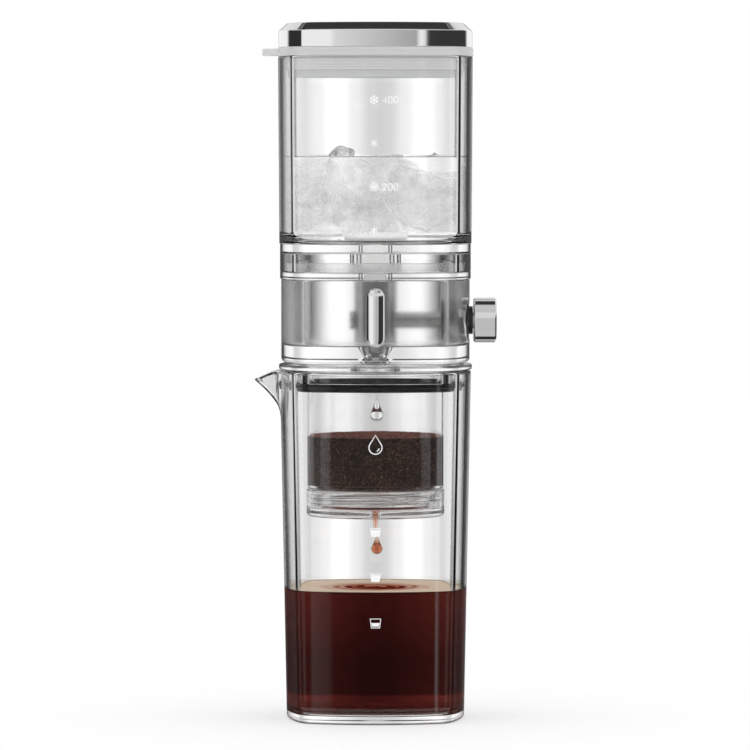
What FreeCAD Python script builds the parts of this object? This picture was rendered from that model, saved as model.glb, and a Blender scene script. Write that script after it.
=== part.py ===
"""Cold drip coffee tower, in millimetres.

From the table up: a squared glass carafe, a filter insert hanging in its mouth, a clear block that holds the
drip valve, a water tank, and a metal lid on a silicone seal. +Z is up, the spout points to -X, the valve knob
to +X, and the front is -Y. The origin is on the table, under the middle of the tower.
"""
import FreeCAD, Part
import math
import os

V = FreeCAD.Vector
UP = V(0, 0, 1)

# Fits
RUNNING_FIT = 0.1          # between a turning or sliding piece and its bore, on the radius
SEAT_GAP = 0.3             # between pieces that lift apart
OVERCUT = 1.0              # how far a cutting solid runs past the face it opens

# Glass carafe
CARAFE_HEIGHT = 149.2
CARAFE_FOOT_HALF = 38.1
CARAFE_RIM_HALF = 41.0
CARAFE_WALL = 2.3
CARAFE_FLOOR = 3.6
CARAFE_FOOT_ROUND = 2.4

# Plan outline of the carafe's rim, which every squared piece follows: bowed sides that run into round corners
OUTLINE_HALF = CARAFE_RIM_HALF
SIDE_BOW = 80.0            # radius of its bowed sides
CORNER_RADIUS = 12.8       # radius of its corners

# Pouring spout
SPOUT_REACH = 51.8         # tip of the lip from the axis
SPOUT_TIP_DROP = 3.5       # the lip's tip lies this much lower than the rim
SPOUT_LIP_RUN = 7.7        # the rim starts to fall this far behind the tip
SPOUT_HALF_WIDTH = 12.5
SPOUT_NOSE_RADIUS = 4.0
SPOUT_DEPTH = 20.4         # height of the spout, from the rim down
SPOUT_SWEEP = 1.7          # how sharply the spout leaves the wall: 1 is a straight slope
SPOUT_ROOTED = 0.6         # the spout starts this deep in the wall
SPOUT_SECTIONS = 5

# Filter insert: flange on the rim, skirt in the mouth, round cup below
FLANGE_PROUD = 0.4         # the flange's edge stands this far out from the carafe's rim
FLANGE_HALF = CARAFE_RIM_HALF + FLANGE_PROUD
FLANGE_THICK = 2.3
FLANGE_PAD_INSET = 1.7     # the raised pads stop this far inside the flange's edge
RIM_PAD = 0.45             # pad under the flange, on the carafe's rim
SEAT_PAD = 0.85            # pad on the flange, under the valve housing
DRIP_HOLE_RADIUS = 9.1     # hole in the flange that the drops fall through
MOUTH_HALF = CARAFE_RIM_HALF - CARAFE_WALL
SKIRT_CLEARANCE = 2.8      # between the skirt and the carafe's mouth
SKIRT_HALF = MOUTH_HALF - SKIRT_CLEARANCE
SKIRT_WALL = 3.4
SKIRT_DEPTH = 8.75         # skirt and gasket together, below the flange
GASKET_HEIGHT = 3.4
GASKET_DEEP = 1.3          # the skirt is this much narrower behind the gasket
GASKET_CLEARANCE = 1.5     # between the gasket's body and the mouth
GASKET_BODY_HALF = MOUTH_HALF - GASKET_CLEARANCE
GASKET_LIP_HEIGHT = 0.9
CUP_CLEARANCE = 2.2        # between the cup and the skirt
CUP_WALL = 1.6
CUP_BORE_RADIUS = SKIRT_HALF - SKIRT_WALL - CUP_CLEARANCE - CUP_WALL
CUP_DEPTH = 50.9           # from the flange down to the cup's shoulder
CUP_LEDGE = 1.6            # thickness of the step from the cup to its neck
CUP_CORNER = 1.4           # round inside that step
NECK_STEP = 1.2            # the neck is this much narrower than the cup's bore
NECK_RADIUS = CUP_BORE_RADIUS - NECK_STEP
NECK_WALL = 1.8
NECK_HEIGHT = 8.1

# Screw thread between the cup's neck and the filter base
THREAD_LEAD = 4.7
THREAD_STARTS = 2
THREAD_DEPTH = 1.0
THREAD_ROOT_WIDTH = 1.1
THREAD_CREST_WIDTH = 0.5
THREAD_CLEARANCE = 0.4     # between a crest and the root it faces
THREAD_ROOTED = 0.3        # a ridge starts this deep inside the wall that carries it
THREAD_TURNS = 0.95        # length of one ridge, in turns

# Filter base, which screws on the neck, and the screen that it carries
BASE_WALL = 1.9
BASE_SKIRT_HEIGHT = 8.2
BASE_FLOOR = 3.4
BASE_ROUND = 1.6
COLLAR_WALL = 2.2
COLLAR_HEIGHT = 7.7
DRAIN_RADIUS = 1.5
DRAIN_LIP = 1.2            # thickness of the floor at the drain
SCREEN_THICK = 0.6
SCREEN_HOLE_RADIUS = 0.9
SCREEN_RING_STEP = 3.2     # distance between the screen's rings of holes
SCREEN_RINGS = 6
SCREEN_SEAL_THICK = 1.1
SEAL_HEIGHT_ON_COLLAR = 3.6

# Valve housing: a thick clear block, open at the top
HOUSING_INSET = 1.0        # the block's sides lie this far inside the flange's edge
HOUSING_HALF = FLANGE_HALF - HOUSING_INSET
HOUSING_HEIGHT = 35.5
HOUSING_FLOOR = 7.3
HOUSING_WALL = 6.0
HOUSING_FOOT_ROUND = 1.8
FLARE_RADIUS = 8.2         # wide end of the countersink under the housing
FLARE_DEPTH = 2.4
DRAIN_BORE_RADIUS = 4.4
FOOT_SEAT_RADIUS = 6.7     # wide end of the cone that the valve's foot sits in

# Deck plate between the housing and the tank
DECK_PROUD = 0.5           # the plate's edge stands this far out from the housing's sides
DECK_HALF = HOUSING_HALF + DECK_PROUD
DECK_THICK = 3.4
DECK_SPIGOT_HEIGHT = 4.0
DECK_SPIGOT_WALL = 2.0

# Drip valve
VALVE_RADIUS = 9.0
AXIS_HEIGHT = 17.8         # valve axis above the housing's underside
FOOT_SEAL_THICK = 0.8
NIPPLE_RADIUS = 6.0
INLET_RADIUS = 1.8
INLET_OFFSET = 2.4         # inlet bore, toward the knob from the axis
OUTLET_RADIUS = 1.2
OUTLET_OFFSET = 3.0        # outlet bore, away from the knob
ORIFICE_RADIUS = 0.9
ORIFICE_FACE = 0.4         # x of the seat that the needle closes
CHAMBER_RADIUS = 2.4
SOCKET_RADIUS = 4.3        # wider bore that the spindle turns in
SOCKET_FLOOR = 4.8         # x of the step between chamber and socket
PLUG_BORE_RADIUS = 2.5
PLUG_BORE_DEPTH = 5.4
PLUG_SHORT = 0.9           # the plug stops this far before the end of its bore
PLUG_HEAD_RADIUS = 4.0
PLUG_HEAD_THICK = 1.8
NOZZLE_THREAD_RADIUS = 2.9
NOZZLE_THREAD_LENGTH = 8.0
NOZZLE_BORE_RADIUS = 0.8

# Needle, spindle and knob
NEEDLE_RADIUS = 2.2
NEEDLE_LAND = 1.5          # length of the needle's full-width part
NEEDLE_CONE = 2.2
NEEDLE_TIP_RADIUS = 0.3
NEEDLE_OPEN = 0.3          # how far the needle stands off its seat at rest
NEEDLE_SHANK_RADIUS = 1.6
NEEDLE_SHANK = 13.0
SPINDLE_RADIUS = 3.5
SPINDLE_BORE_DEPTH = 15.0
SPINDLE_STUB_RADIUS = 3.0
SPINDLE_STUB = 6.5
ORING_THICK = 1.2
ORING_PLACE = 2.0          # middle of the O-ring from the spindle's inner end
BUSH_FLANGE_RADIUS = 9.3
BUSH_FLANGE_THICK = 2.5
BUSH_RECESS = 4.3          # depth of the pocket for the bush's flange
BUSH_SLEEVE_RADIUS = 4.9
COLLAR_RADIUS = 6.0
COLLAR_PROUD = 1.3         # the black collar stands this far out of the housing
BUSH_NUT_HALF = 7.0        # half of the width across its flats
BUSH_NUT_THICK = 3.4
KNOB_GAP = 0.3
KNOB_RADIUS = 9.6
KNOB_LENGTH = 9.8
KNOB_CHAMFER = 0.6
KNOB_SCREW_RADIUS = 1.5
KNOB_SCREW_SUNK = 1.0

# Raised pill on the housing's front
PILL_HALF_WIDTH = 3.9
PILL_HEIGHT = 25.1
PILL_CENTRE = 19.9         # middle of the pill above the housing's underside
PILL_SUNK = 0.8
PILL_PROUD = 1.2
PILL_EDGE_ROUND = 0.9

# Water tank
TANK_BAND_HALF = DECK_HALF
TANK_BAND_HEIGHT = 11.8
TANK_STEP = 0.3            # the walls stand this far out from the band below them
TANK_LOW_HALF = TANK_BAND_HALF + TANK_STEP
TANK_FLARE = 0.5           # and this much further out at the rim
TANK_RIM_HALF = TANK_LOW_HALF + TANK_FLARE
TANK_HEIGHT = 91.7
TANK_WALL = 2.4
TANK_FLOOR = 3.2
TANK_FLOOR_ROUND = 3.0
TANK_BOSS_RADIUS = 11.0
INLET_WASHER_THICK = 1.0
INLET_WASHER_RADIUS = 11.5
INLET_NUT_HALF = 10.5
INLET_NUT_THICK = 4.0

# Lid: metal cap, plastic core, silicone seal
CAP_INSET = 0.2            # the cap's sides lie this far inside the tank's rim
CAP_HALF = TANK_RIM_HALF - CAP_INSET
CAP_HEIGHT = 10.5
CAP_SHEET = 1.2
CAP_CHAMFER_IN = 3.6
CAP_CHAMFER_DOWN = 3.3
SEAL_FLANGE_PROUD = 0.25   # the seal's flange stands this far out from the tank's rim
SEAL_FLANGE_HALF = TANK_RIM_HALF + SEAL_FLANGE_PROUD
SEAL_FLANGE_THICK = 3.6
SEAL_PLUG_DEPTH = 6.0
SEAL_PLUG_CLEARANCE = 1.0  # between the seal's plug and the tank's mouth
SEAL_PLUG_HALF = TANK_RIM_HALF - TANK_WALL - SEAL_PLUG_CLEARANCE
SEAL_PLUG_WALL = 2.0
SEAL_LIP_HEIGHT = 1.0
SEAL_LIP_PLACES = (0.9, 3.8)   # top of each lip below the flange
CORE_SPIGOT_HALF = SEAL_PLUG_HALF - SEAL_PLUG_WALL
CORE_LIP_PROUD = 1.0       # lip under the seal that keeps it on the spigot
CORE_LIP_HALF = CORE_SPIGOT_HALF + CORE_LIP_PROUD
CORE_LIP_HEIGHT = 2.8
CORE_WALL = 2.2
TAB_PROUD = 6.55           # the pull tab stands this far out from the seal's flange
TAB_REACH = SEAL_FLANGE_HALF + TAB_PROUD
TAB_HALF_WIDTH = 8.0
TAB_THICK = 3.0

# Heights that follow from the stack
RIM_Z = CARAFE_HEIGHT
FLANGE_Z = RIM_Z + RIM_PAD
FLANGE_TOP_Z = FLANGE_Z + FLANGE_THICK
HOUSING_Z = FLANGE_TOP_Z + SEAT_PAD
CAVITY_Z = HOUSING_Z + HOUSING_FLOOR
VALVE_Z = HOUSING_Z + AXIS_HEIGHT
DECK_Z = HOUSING_Z + HOUSING_HEIGHT
TANK_Z = DECK_Z + DECK_THICK
TANK_SHOULDER_Z = TANK_Z + TANK_BAND_HEIGHT
TANK_FLOOR_Z = TANK_SHOULDER_Z - TANK_FLOOR
TANK_RIM_Z = TANK_Z + TANK_HEIGHT
CAP_Z = TANK_RIM_Z + SEAL_FLANGE_THICK
CUP_SHOULDER_Z = FLANGE_Z - CUP_DEPTH
BASE_TOP_Z = CUP_SHOULDER_Z - SEAT_GAP
BASE_FLOOR_Z = BASE_TOP_Z - BASE_SKIRT_HEIGHT
BASE_Z = BASE_FLOOR_Z - BASE_FLOOR
SCREEN_Z = BASE_FLOOR_Z + COLLAR_HEIGHT

# Places along the valve's axis, toward +X
SPINDLE_END_X = SOCKET_FLOOR + 4 * RUNNING_FIT
BUSH_FACE_X = HOUSING_HALF - BUSH_RECESS
COLLAR_FACE_X = HOUSING_HALF + COLLAR_PROUD
KNOB_X = COLLAR_FACE_X + KNOB_GAP
NUT_SEAT_X = HOUSING_HALF - HOUSING_WALL


def outline(half, z):
    """The plan outline moved in or out until its half width is half, at height z."""
    grow = half - OUTLINE_HALF
    back = SIDE_BOW - OUTLINE_HALF
    span = SIDE_BOW - CORNER_RADIUS
    corner = (math.sqrt(2 * span**2 - back**2) - back) / 2
    bow, round_off = SIDE_BOW + grow, CORNER_RADIUS + grow
    along, across = (corner + back) / span, corner / span
    far = corner + round_off / math.sqrt(2)
    edges = []
    for quarter in range(4):
        turn = math.radians(90 * quarter)

        def at(x, y):
            cos, sin = math.cos(turn), math.sin(turn)
            return V(x * cos - y * sin, x * sin + y * cos, z)

        start = at(bow * along - back, -bow * across)
        end = at(bow * along - back, bow * across)
        after = at(bow * across, bow * along - back)
        edges.append(Part.Arc(start, at(half, 0), end).toShape())
        edges.append(Part.Arc(end, at(far, far), after).toShape())
    return Part.Wire(edges)


def block(half, z0, z1):
    """Straight-sided solid on the plan outline."""
    return Part.Face(outline(half, z0)).extrude(UP * (z1 - z0))


def tapered(half0, z0, half1, z1):
    """Solid on the plan outline whose sides lean evenly from one height to the other."""
    return Part.makeLoft([outline(half0, z0), outline(half1, z1)], True, True)


def frame(half_out, half_in, z0, z1):
    """Squared ring between two plan outlines."""
    return block(half_out, z0, z1).cut(block(half_in, z0 - OVERCUT, z1 + OVERCUT))


def rod(radius, z0, z1, x=0.0):
    """Upright cylinder."""
    return Part.makeCylinder(radius, z1 - z0, V(x, 0, z0), UP)


def ring(radius_out, radius_in, z0, z1):
    """Upright round ring."""
    return rod(radius_out, z0, z1).cut(rod(radius_in, z0 - OVERCUT, z1 + OVERCUT))


def cone(radius0, z0, radius1, z1):
    """Upright cone between two heights."""
    return Part.makeCone(radius0, radius1, z1 - z0, V(0, 0, z0), UP)


def shaft(radius, x0, x1):
    """Cylinder along the valve's axis."""
    return Part.makeCylinder(radius, x1 - x0, V(x0, 0, VALVE_Z), V(1, 0, 0))


def hexagon(half_flats, base, length):
    """Six-sided prism from base along the vector length, with two flats square to the Y axis."""
    corner = half_flats / math.cos(math.radians(30))
    side = length.cross(V(0, 1, 0)).normalize()
    turns = [math.radians(60 * k) for k in range(7)]
    points = [base + V(0, 1, 0) * (corner * math.sin(a)) + side * (corner * math.cos(a)) for a in turns]
    return Part.Face(Part.makePolygon(points)).extrude(length)


def rounded(solid, radius, z):
    """The solid with every edge that lies at height z rounded."""
    close = 1e-4
    level = [e for e in solid.Edges if abs(e.BoundBox.ZMin - z) < close and abs(e.BoundBox.ZMax - z) < close]
    return solid.makeFillet(radius, level)


def one_piece(shape):
    """The shape with its touching faces joined; a sub-part that should be one solid is checked for it."""
    joined = shape.removeSplitter()
    if len(joined.Solids) != 1 or not joined.isValid():
        raise ValueError("expected one valid solid, got %d" % len(joined.Solids))
    return joined.Solids[0]


def carafe_half(z):
    """Half width of the carafe's outside at height z."""
    return CARAFE_FOOT_HALF + (CARAFE_RIM_HALF - CARAFE_FOOT_HALF) * z / CARAFE_HEIGHT


def spout_section(share, inset):
    """Plan of the spout at a share of its height, 0 at its foot and 1 at its tip, moved in by inset."""
    z = RIM_Z - SPOUT_DEPTH + share * (SPOUT_DEPTH - SPOUT_TIP_DROP)
    tip_stands = SPOUT_REACH - carafe_half(RIM_Z - SPOUT_TIP_DROP)
    reach = carafe_half(z) - SPOUT_ROOTED * (1 - share) + tip_stands * share**SPOUT_SWEEP - inset
    nose = SPOUT_NOSE_RADIUS * (0.8 + 0.2 * share) - inset
    half_width = SPOUT_HALF_WIDTH * (0.35 + 0.65 * share**0.8) - inset
    back = carafe_half(z) - CARAFE_WALL - inset
    run = reach - nose - back
    lean = math.atan2(half_width, -run) - math.acos(nose / math.hypot(run, half_width))
    touch = V(-(reach - nose + nose * math.cos(lean)), nose * math.sin(lean), z)
    mirrored = V(touch.x, -touch.y, z)
    corner, corner_mirrored = V(-back, half_width, z), V(-back, -half_width, z)
    sides = [
        Part.LineSegment(corner, touch),
        Part.Arc(touch, V(-reach, 0, z), mirrored),
        Part.LineSegment(mirrored, corner_mirrored),
        Part.LineSegment(corner_mirrored, corner),
    ]
    return Part.Wire([side.toShape() for side in sides])


def spout(inset):
    """The spout's outside (inset 0) or its channel, carried past the rim."""
    shares = [k / (SPOUT_SECTIONS - 1) for k in range(SPOUT_SECTIONS)]
    past_rim = 1 + 2 * SPOUT_TIP_DROP / (SPOUT_DEPTH - SPOUT_TIP_DROP)
    return Part.makeLoft([spout_section(share, inset) for share in shares + [past_rim]], True)


def carafe():
    """Squared glass jug with a thick foot and a pouring lip."""
    outside = rounded(tapered(CARAFE_FOOT_HALF, 0, CARAFE_RIM_HALF, RIM_Z), CARAFE_FOOT_ROUND, 0)
    lean = (CARAFE_RIM_HALF - CARAFE_FOOT_HALF) / CARAFE_HEIGHT
    floor_half = carafe_half(CARAFE_FLOOR) - CARAFE_WALL
    inside = tapered(floor_half, CARAFE_FLOOR, MOUTH_HALF + lean * OVERCUT, RIM_Z + OVERCUT)
    inside = rounded(inside, CARAFE_FOOT_ROUND, CARAFE_FLOOR)
    lip_x, past_x = SPOUT_REACH - SPOUT_LIP_RUN, 2 * SPOUT_REACH
    above, wide = 3 * SPOUT_TIP_DROP, 2 * SPOUT_HALF_WIDTH
    past_drop = (past_x - lip_x) * SPOUT_TIP_DROP / SPOUT_LIP_RUN
    trim = [(0, 0), (-lip_x, 0), (-past_x, -past_drop), (-past_x, above), (0, above), (0, 0)]
    face = Part.Face(Part.makePolygon([V(x, -wide, RIM_Z + z) for x, z in trim]))
    over_rim = face.extrude(V(0, 2 * wide, 0))
    return one_piece(outside.fuse(spout(0)).cut(inside).cut(spout(CARAFE_WALL)).cut(over_rim))


def insert_flange():
    """Flange that hangs the filter in the carafe's mouth, with its skirt and its two pads."""
    pad_half = FLANGE_HALF - FLANGE_PAD_INSET
    skirt_in = SKIRT_HALF - SKIRT_WALL
    skirt_end = FLANGE_Z - SKIRT_DEPTH
    gasket_top = skirt_end + GASKET_HEIGHT
    plate = block(FLANGE_HALF, FLANGE_Z, FLANGE_TOP_Z)
    low_pad = frame(pad_half, skirt_in, RIM_Z, FLANGE_Z)
    high_pad = frame(pad_half - FLANGE_PAD_INSET, skirt_in, FLANGE_TOP_Z, HOUSING_Z)
    skirt = frame(SKIRT_HALF, skirt_in, gasket_top, FLANGE_Z)
    neck = frame(SKIRT_HALF - GASKET_DEEP, skirt_in, skirt_end, gasket_top)
    hole = rod(DRIP_HOLE_RADIUS, FLANGE_Z - OVERCUT, FLANGE_TOP_Z + OVERCUT)
    return one_piece(plate.fuse([low_pad, high_pad, skirt, neck]).cut(hole))


def insert_gasket():
    """Black silicone band round the skirt's end, with one lip that wipes the glass."""
    z0 = FLANGE_Z - SKIRT_DEPTH
    z1 = z0 + GASKET_HEIGHT
    lip_z = z1 - 2 * GASKET_LIP_HEIGHT
    lip_half = carafe_half(z0) - CARAFE_WALL - SEAT_GAP
    inner = SKIRT_HALF - GASKET_DEEP
    band = frame(GASKET_BODY_HALF, inner, z0, z1)
    return one_piece(band.fuse(frame(lip_half, inner, lip_z, lip_z + GASKET_LIP_HEIGHT)))


def thread_ridge(wall_radius, crest_radius, z, turn):
    """One ridge of the screw thread, starting at height z, standing in or out from its wall."""
    rooted = math.copysign(THREAD_ROOTED, wall_radius - crest_radius)
    root, crest = THREAD_ROOT_WIDTH / 2, THREAD_CREST_WIDTH / 2
    profile = [(wall_radius + rooted, -root), (wall_radius, -root), (crest_radius, -crest)]
    profile += [(crest_radius, crest), (wall_radius, root), (wall_radius + rooted, root)]
    corners = [V(r, 0, z + h) for r, h in profile + profile[:1]]
    helix = Part.makeHelix(THREAD_LEAD, THREAD_TURNS * THREAD_LEAD, wall_radius)
    helix.translate(UP * z)
    ridge = Part.Wire(helix.Edges).makePipeShell([Part.makePolygon(corners)], True, True)
    ridge.rotate(V(0, 0, 0), UP, turn)
    return ridge


def with_thread(wall, wall_radius, crest_radius, z):
    """The wall with every start of the thread on it."""
    for start in range(THREAD_STARTS):
        wall = wall.fuse(thread_ridge(wall_radius, crest_radius, z, 360 * start / THREAD_STARTS))
    return wall


def neck_thread_z():
    """Height at which the neck's ridges start, so that the thread is centred on the neck."""
    return CUP_SHOULDER_Z - (NECK_HEIGHT + THREAD_TURNS * THREAD_LEAD) / 2 - THREAD_LEAD / 4 / THREAD_STARTS


def filter_cup():
    """Round clear cup for the ground coffee, open below through a threaded neck."""
    outer = CUP_BORE_RADIUS + CUP_WALL
    neck_z = CUP_SHOULDER_Z - NECK_HEIGHT
    bore = rod(CUP_BORE_RADIUS, CUP_SHOULDER_Z + CUP_LEDGE, FLANGE_Z + OVERCUT)
    bore = rounded(bore, CUP_CORNER, CUP_SHOULDER_Z + CUP_LEDGE)
    neck_bore = rod(NECK_RADIUS - NECK_WALL, neck_z - OVERCUT, FLANGE_Z)
    cup = rod(outer, CUP_SHOULDER_Z, FLANGE_Z).fuse(rod(NECK_RADIUS, neck_z, CUP_SHOULDER_Z))
    cup = cup.cut(bore).cut(neck_bore)
    return one_piece(with_thread(cup, NECK_RADIUS, NECK_RADIUS + THREAD_DEPTH, neck_thread_z()))


def collar_radius():
    """Outside of the collar that stands in the cup's neck and carries the screen."""
    return NECK_RADIUS - NECK_WALL - SEAT_GAP


def filter_base():
    """Clear screw-on base: threaded skirt, dished floor with a drain, and the screen's collar."""
    root = NECK_RADIUS + THREAD_DEPTH + THREAD_CLEARANCE
    collar_out = collar_radius()
    collar_in = collar_out - COLLAR_WALL
    cup = rounded(rod(root + BASE_WALL, BASE_Z, BASE_TOP_Z), BASE_ROUND, BASE_Z)
    cup = cup.cut(rod(root, BASE_FLOOR_Z, BASE_TOP_Z + OVERCUT))
    cup = cup.fuse(ring(collar_out, collar_in, BASE_FLOOR_Z, SCREEN_Z))
    groove_z = BASE_FLOOR_Z + SEAL_HEIGHT_ON_COLLAR - SCREEN_SEAL_THICK / 2
    groove_radius = NECK_RADIUS - NECK_WALL - RUNNING_FIT - SCREEN_SEAL_THICK
    groove = ring(collar_out + OVERCUT, groove_radius, groove_z, groove_z + SCREEN_SEAL_THICK)
    dish = cone(DRAIN_RADIUS, BASE_Z + DRAIN_LIP, collar_in - DRAIN_LIP, BASE_FLOOR_Z)
    drain = rod(DRAIN_RADIUS, BASE_Z - OVERCUT, BASE_FLOOR_Z)
    cup = cup.cut(groove).cut(dish).cut(drain)
    ridge_z = neck_thread_z() + THREAD_LEAD / 2 / THREAD_STARTS
    return one_piece(with_thread(cup, root, root - THREAD_DEPTH, ridge_z))


def screen_seal():
    """Silicone O-ring between the base's collar and the neck."""
    half = SCREEN_SEAL_THICK / 2
    radius = NECK_RADIUS - NECK_WALL - RUNNING_FIT - half
    return Part.makeTorus(radius, half, V(0, 0, BASE_FLOOR_Z + SEAL_HEIGHT_ON_COLLAR), UP)


def filter_screen():
    """Perforated steel disc on the collar."""
    disc = rod(collar_radius(), SCREEN_Z, SCREEN_Z + SCREEN_THICK)
    holes = [rod(SCREEN_HOLE_RADIUS, SCREEN_Z - OVERCUT, SCREEN_Z + SCREEN_THICK + OVERCUT)]
    for step in range(1, SCREEN_RINGS + 1):
        for place in range(6 * step):
            hole = holes[0].copy()
            hole.translate(V(step * SCREEN_RING_STEP, 0, 0))
            hole.rotate(V(0, 0, 0), UP, 60 * place / step)
            holes.append(hole)
    return one_piece(disc.cut(Part.makeCompound(holes)))


def pill(half_width, height, y0, y1):
    """Upright pill shape on the housing's front, from y0 to y1."""
    centre_z, straight = HOUSING_Z + PILL_CENTRE, height / 2 - PILL_HALF_WIDTH
    top, bottom = centre_z + straight, centre_z - straight
    sides = [
        Part.LineSegment(V(half_width, y0, bottom), V(half_width, y0, top)),
        Part.Arc(V(half_width, y0, top), V(0, y0, top + half_width), V(-half_width, y0, top)),
        Part.LineSegment(V(-half_width, y0, top), V(-half_width, y0, bottom)),
        Part.Arc(V(-half_width, y0, bottom), V(0, y0, bottom - half_width), V(half_width, y0, bottom)),
    ]
    return Part.Face(Part.Wire([side.toShape() for side in sides])).extrude(V(0, y1 - y0, 0))


def front_pill():
    """Polished steel pill let into the housing's front."""
    face_y = -HOUSING_HALF - PILL_PROUD
    solid = pill(PILL_HALF_WIDTH, PILL_HEIGHT, face_y, -HOUSING_HALF + PILL_SUNK)
    front = [e for e in solid.Edges if e.BoundBox.YMax < face_y + RUNNING_FIT]
    return one_piece(solid.makeFillet(PILL_EDGE_ROUND, front))


def valve_housing():
    """Thick clear block, hollow from above, with the valve's seat and the pocket for its bush."""
    shell = rounded(block(HOUSING_HALF, HOUSING_Z, DECK_Z), HOUSING_FOOT_ROUND, HOUSING_Z)
    cavity = block(HOUSING_HALF - HOUSING_WALL, CAVITY_Z, DECK_Z + OVERCUT)
    throat_z = HOUSING_Z + FLARE_DEPTH
    cuts = [
        cavity,
        cone(DRAIN_BORE_RADIUS, throat_z, FOOT_SEAT_RADIUS, CAVITY_Z),
        cone(FLARE_RADIUS, HOUSING_Z, DRAIN_BORE_RADIUS, throat_z),
        shaft(BUSH_FLANGE_RADIUS + RUNNING_FIT, BUSH_FACE_X, HOUSING_HALF + OVERCUT),
        shaft(BUSH_SLEEVE_RADIUS + RUNNING_FIT, NUT_SEAT_X - OVERCUT, BUSH_FACE_X + OVERCUT),
        shaft(BUSH_NUT_HALF / math.cos(math.radians(30)) + SEAT_GAP, NUT_SEAT_X - OVERCUT, NUT_SEAT_X),
        pill(PILL_HALF_WIDTH + RUNNING_FIT, PILL_HEIGHT + 2 * RUNNING_FIT, -HOUSING_HALF - OVERCUT,
             -HOUSING_HALF + PILL_SUNK),
    ]
    return one_piece(shell.cut(cuts))


def foot_seal():
    """Silicone washer between the valve's shoulder and the housing's floor."""
    return ring(VALVE_RADIUS, FOOT_SEAT_RADIUS, CAVITY_Z, CAVITY_Z + FOOT_SEAL_THICK)


def valve_body():
    """Turned column: nipple through the tank's floor, needle chamber, and a conical foot in the housing."""
    throat_z = HOUSING_Z + FLARE_DEPTH
    nipple_z = TANK_SHOULDER_Z + INLET_WASHER_THICK + INLET_NUT_THICK
    column = rod(VALVE_RADIUS, CAVITY_Z + FOOT_SEAL_THICK, DECK_Z)
    foot_radius = FOOT_SEAT_RADIUS - RUNNING_FIT
    foot = cone(DRAIN_BORE_RADIUS - RUNNING_FIT, throat_z, foot_radius, CAVITY_Z)
    neck = rod(foot_radius, CAVITY_Z, CAVITY_Z + FOOT_SEAL_THICK)
    column = column.fuse([foot, neck, rod(NIPPLE_RADIUS, DECK_Z, nipple_z)])
    socket_z = throat_z + NOZZLE_THREAD_LENGTH + SEAT_GAP
    cuts = [
        rod(INLET_RADIUS, VALVE_Z, nipple_z + OVERCUT, INLET_OFFSET),
        rod(OUTLET_RADIUS, socket_z - SEAT_GAP, VALVE_Z, -OUTLET_OFFSET),
        rod(NOZZLE_THREAD_RADIUS + RUNNING_FIT, throat_z - OVERCUT, socket_z),
        shaft(CHAMBER_RADIUS, ORIFICE_FACE, VALVE_RADIUS),
        shaft(SOCKET_RADIUS, SOCKET_FLOOR, VALVE_RADIUS + OVERCUT),
        shaft(ORIFICE_RADIUS, -VALVE_RADIUS, ORIFICE_FACE + OVERCUT),
        shaft(PLUG_BORE_RADIUS, -VALVE_RADIUS - OVERCUT, PLUG_BORE_DEPTH - VALVE_RADIUS),
    ]
    return one_piece(column.cut(cuts))


def drip_nozzle():
    """Countersunk nozzle screwed up into the valve's foot from under the housing."""
    throat_z = HOUSING_Z + FLARE_DEPTH
    sunk_z = HOUSING_Z + SEAT_GAP
    narrow = (FLARE_RADIUS - DRAIN_BORE_RADIUS) * SEAT_GAP / FLARE_DEPTH
    head = cone(FLARE_RADIUS - narrow - RUNNING_FIT, sunk_z, DRAIN_BORE_RADIUS - RUNNING_FIT, throat_z)
    stem = rod(NOZZLE_THREAD_RADIUS, throat_z, throat_z + NOZZLE_THREAD_LENGTH)
    bore = rod(NOZZLE_BORE_RADIUS, HOUSING_Z, throat_z + NOZZLE_THREAD_LENGTH + OVERCUT)
    return one_piece(head.fuse(stem).cut(bore))


def valve_plug():
    """Screw that closes the drilling opposite the needle."""
    head = shaft(PLUG_HEAD_RADIUS, -VALVE_RADIUS - PLUG_HEAD_THICK, -VALVE_RADIUS)
    stem = shaft(PLUG_BORE_RADIUS - RUNNING_FIT, -VALVE_RADIUS, PLUG_BORE_DEPTH - VALVE_RADIUS - PLUG_SHORT)
    return one_piece(head.fuse(stem))


def valve_needle():
    """Needle that meters the drip; its shank is drawn along by the spindle's inner thread."""
    closes = NEEDLE_CONE * (NEEDLE_RADIUS - ORIFICE_RADIUS) / (NEEDLE_RADIUS - NEEDLE_TIP_RADIUS)
    land_x = ORIFICE_FACE + closes + NEEDLE_OPEN
    start = V(land_x - NEEDLE_CONE, 0, VALVE_Z)
    tip = Part.makeCone(NEEDLE_TIP_RADIUS, NEEDLE_RADIUS, NEEDLE_CONE, start, V(1, 0, 0))
    land = shaft(NEEDLE_RADIUS, land_x, land_x + NEEDLE_LAND)
    shank = shaft(NEEDLE_SHANK_RADIUS, land_x + NEEDLE_LAND, land_x + NEEDLE_LAND + NEEDLE_SHANK)
    return one_piece(tip.fuse([land, shank]))


def valve_spindle():
    """Spindle from the needle to the knob."""
    stub = shaft(SPINDLE_STUB_RADIUS, KNOB_X, KNOB_X + SPINDLE_STUB)
    bar = shaft(SPINDLE_RADIUS, SPINDLE_END_X, KNOB_X).fuse(stub)
    bore_end_x = SPINDLE_END_X + SPINDLE_BORE_DEPTH
    bore = shaft(NEEDLE_SHANK_RADIUS + RUNNING_FIT, SPINDLE_END_X - OVERCUT, bore_end_x)
    groove_x = SPINDLE_END_X + ORING_PLACE - ORING_THICK / 2
    groove_radius = SOCKET_RADIUS - RUNNING_FIT - ORING_THICK
    groove = shaft(SPINDLE_RADIUS + OVERCUT, groove_x, groove_x + ORING_THICK)
    groove = groove.cut(shaft(groove_radius, groove_x - OVERCUT, groove_x + ORING_THICK + OVERCUT))
    return one_piece(bar.cut([bore, groove]))


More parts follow.
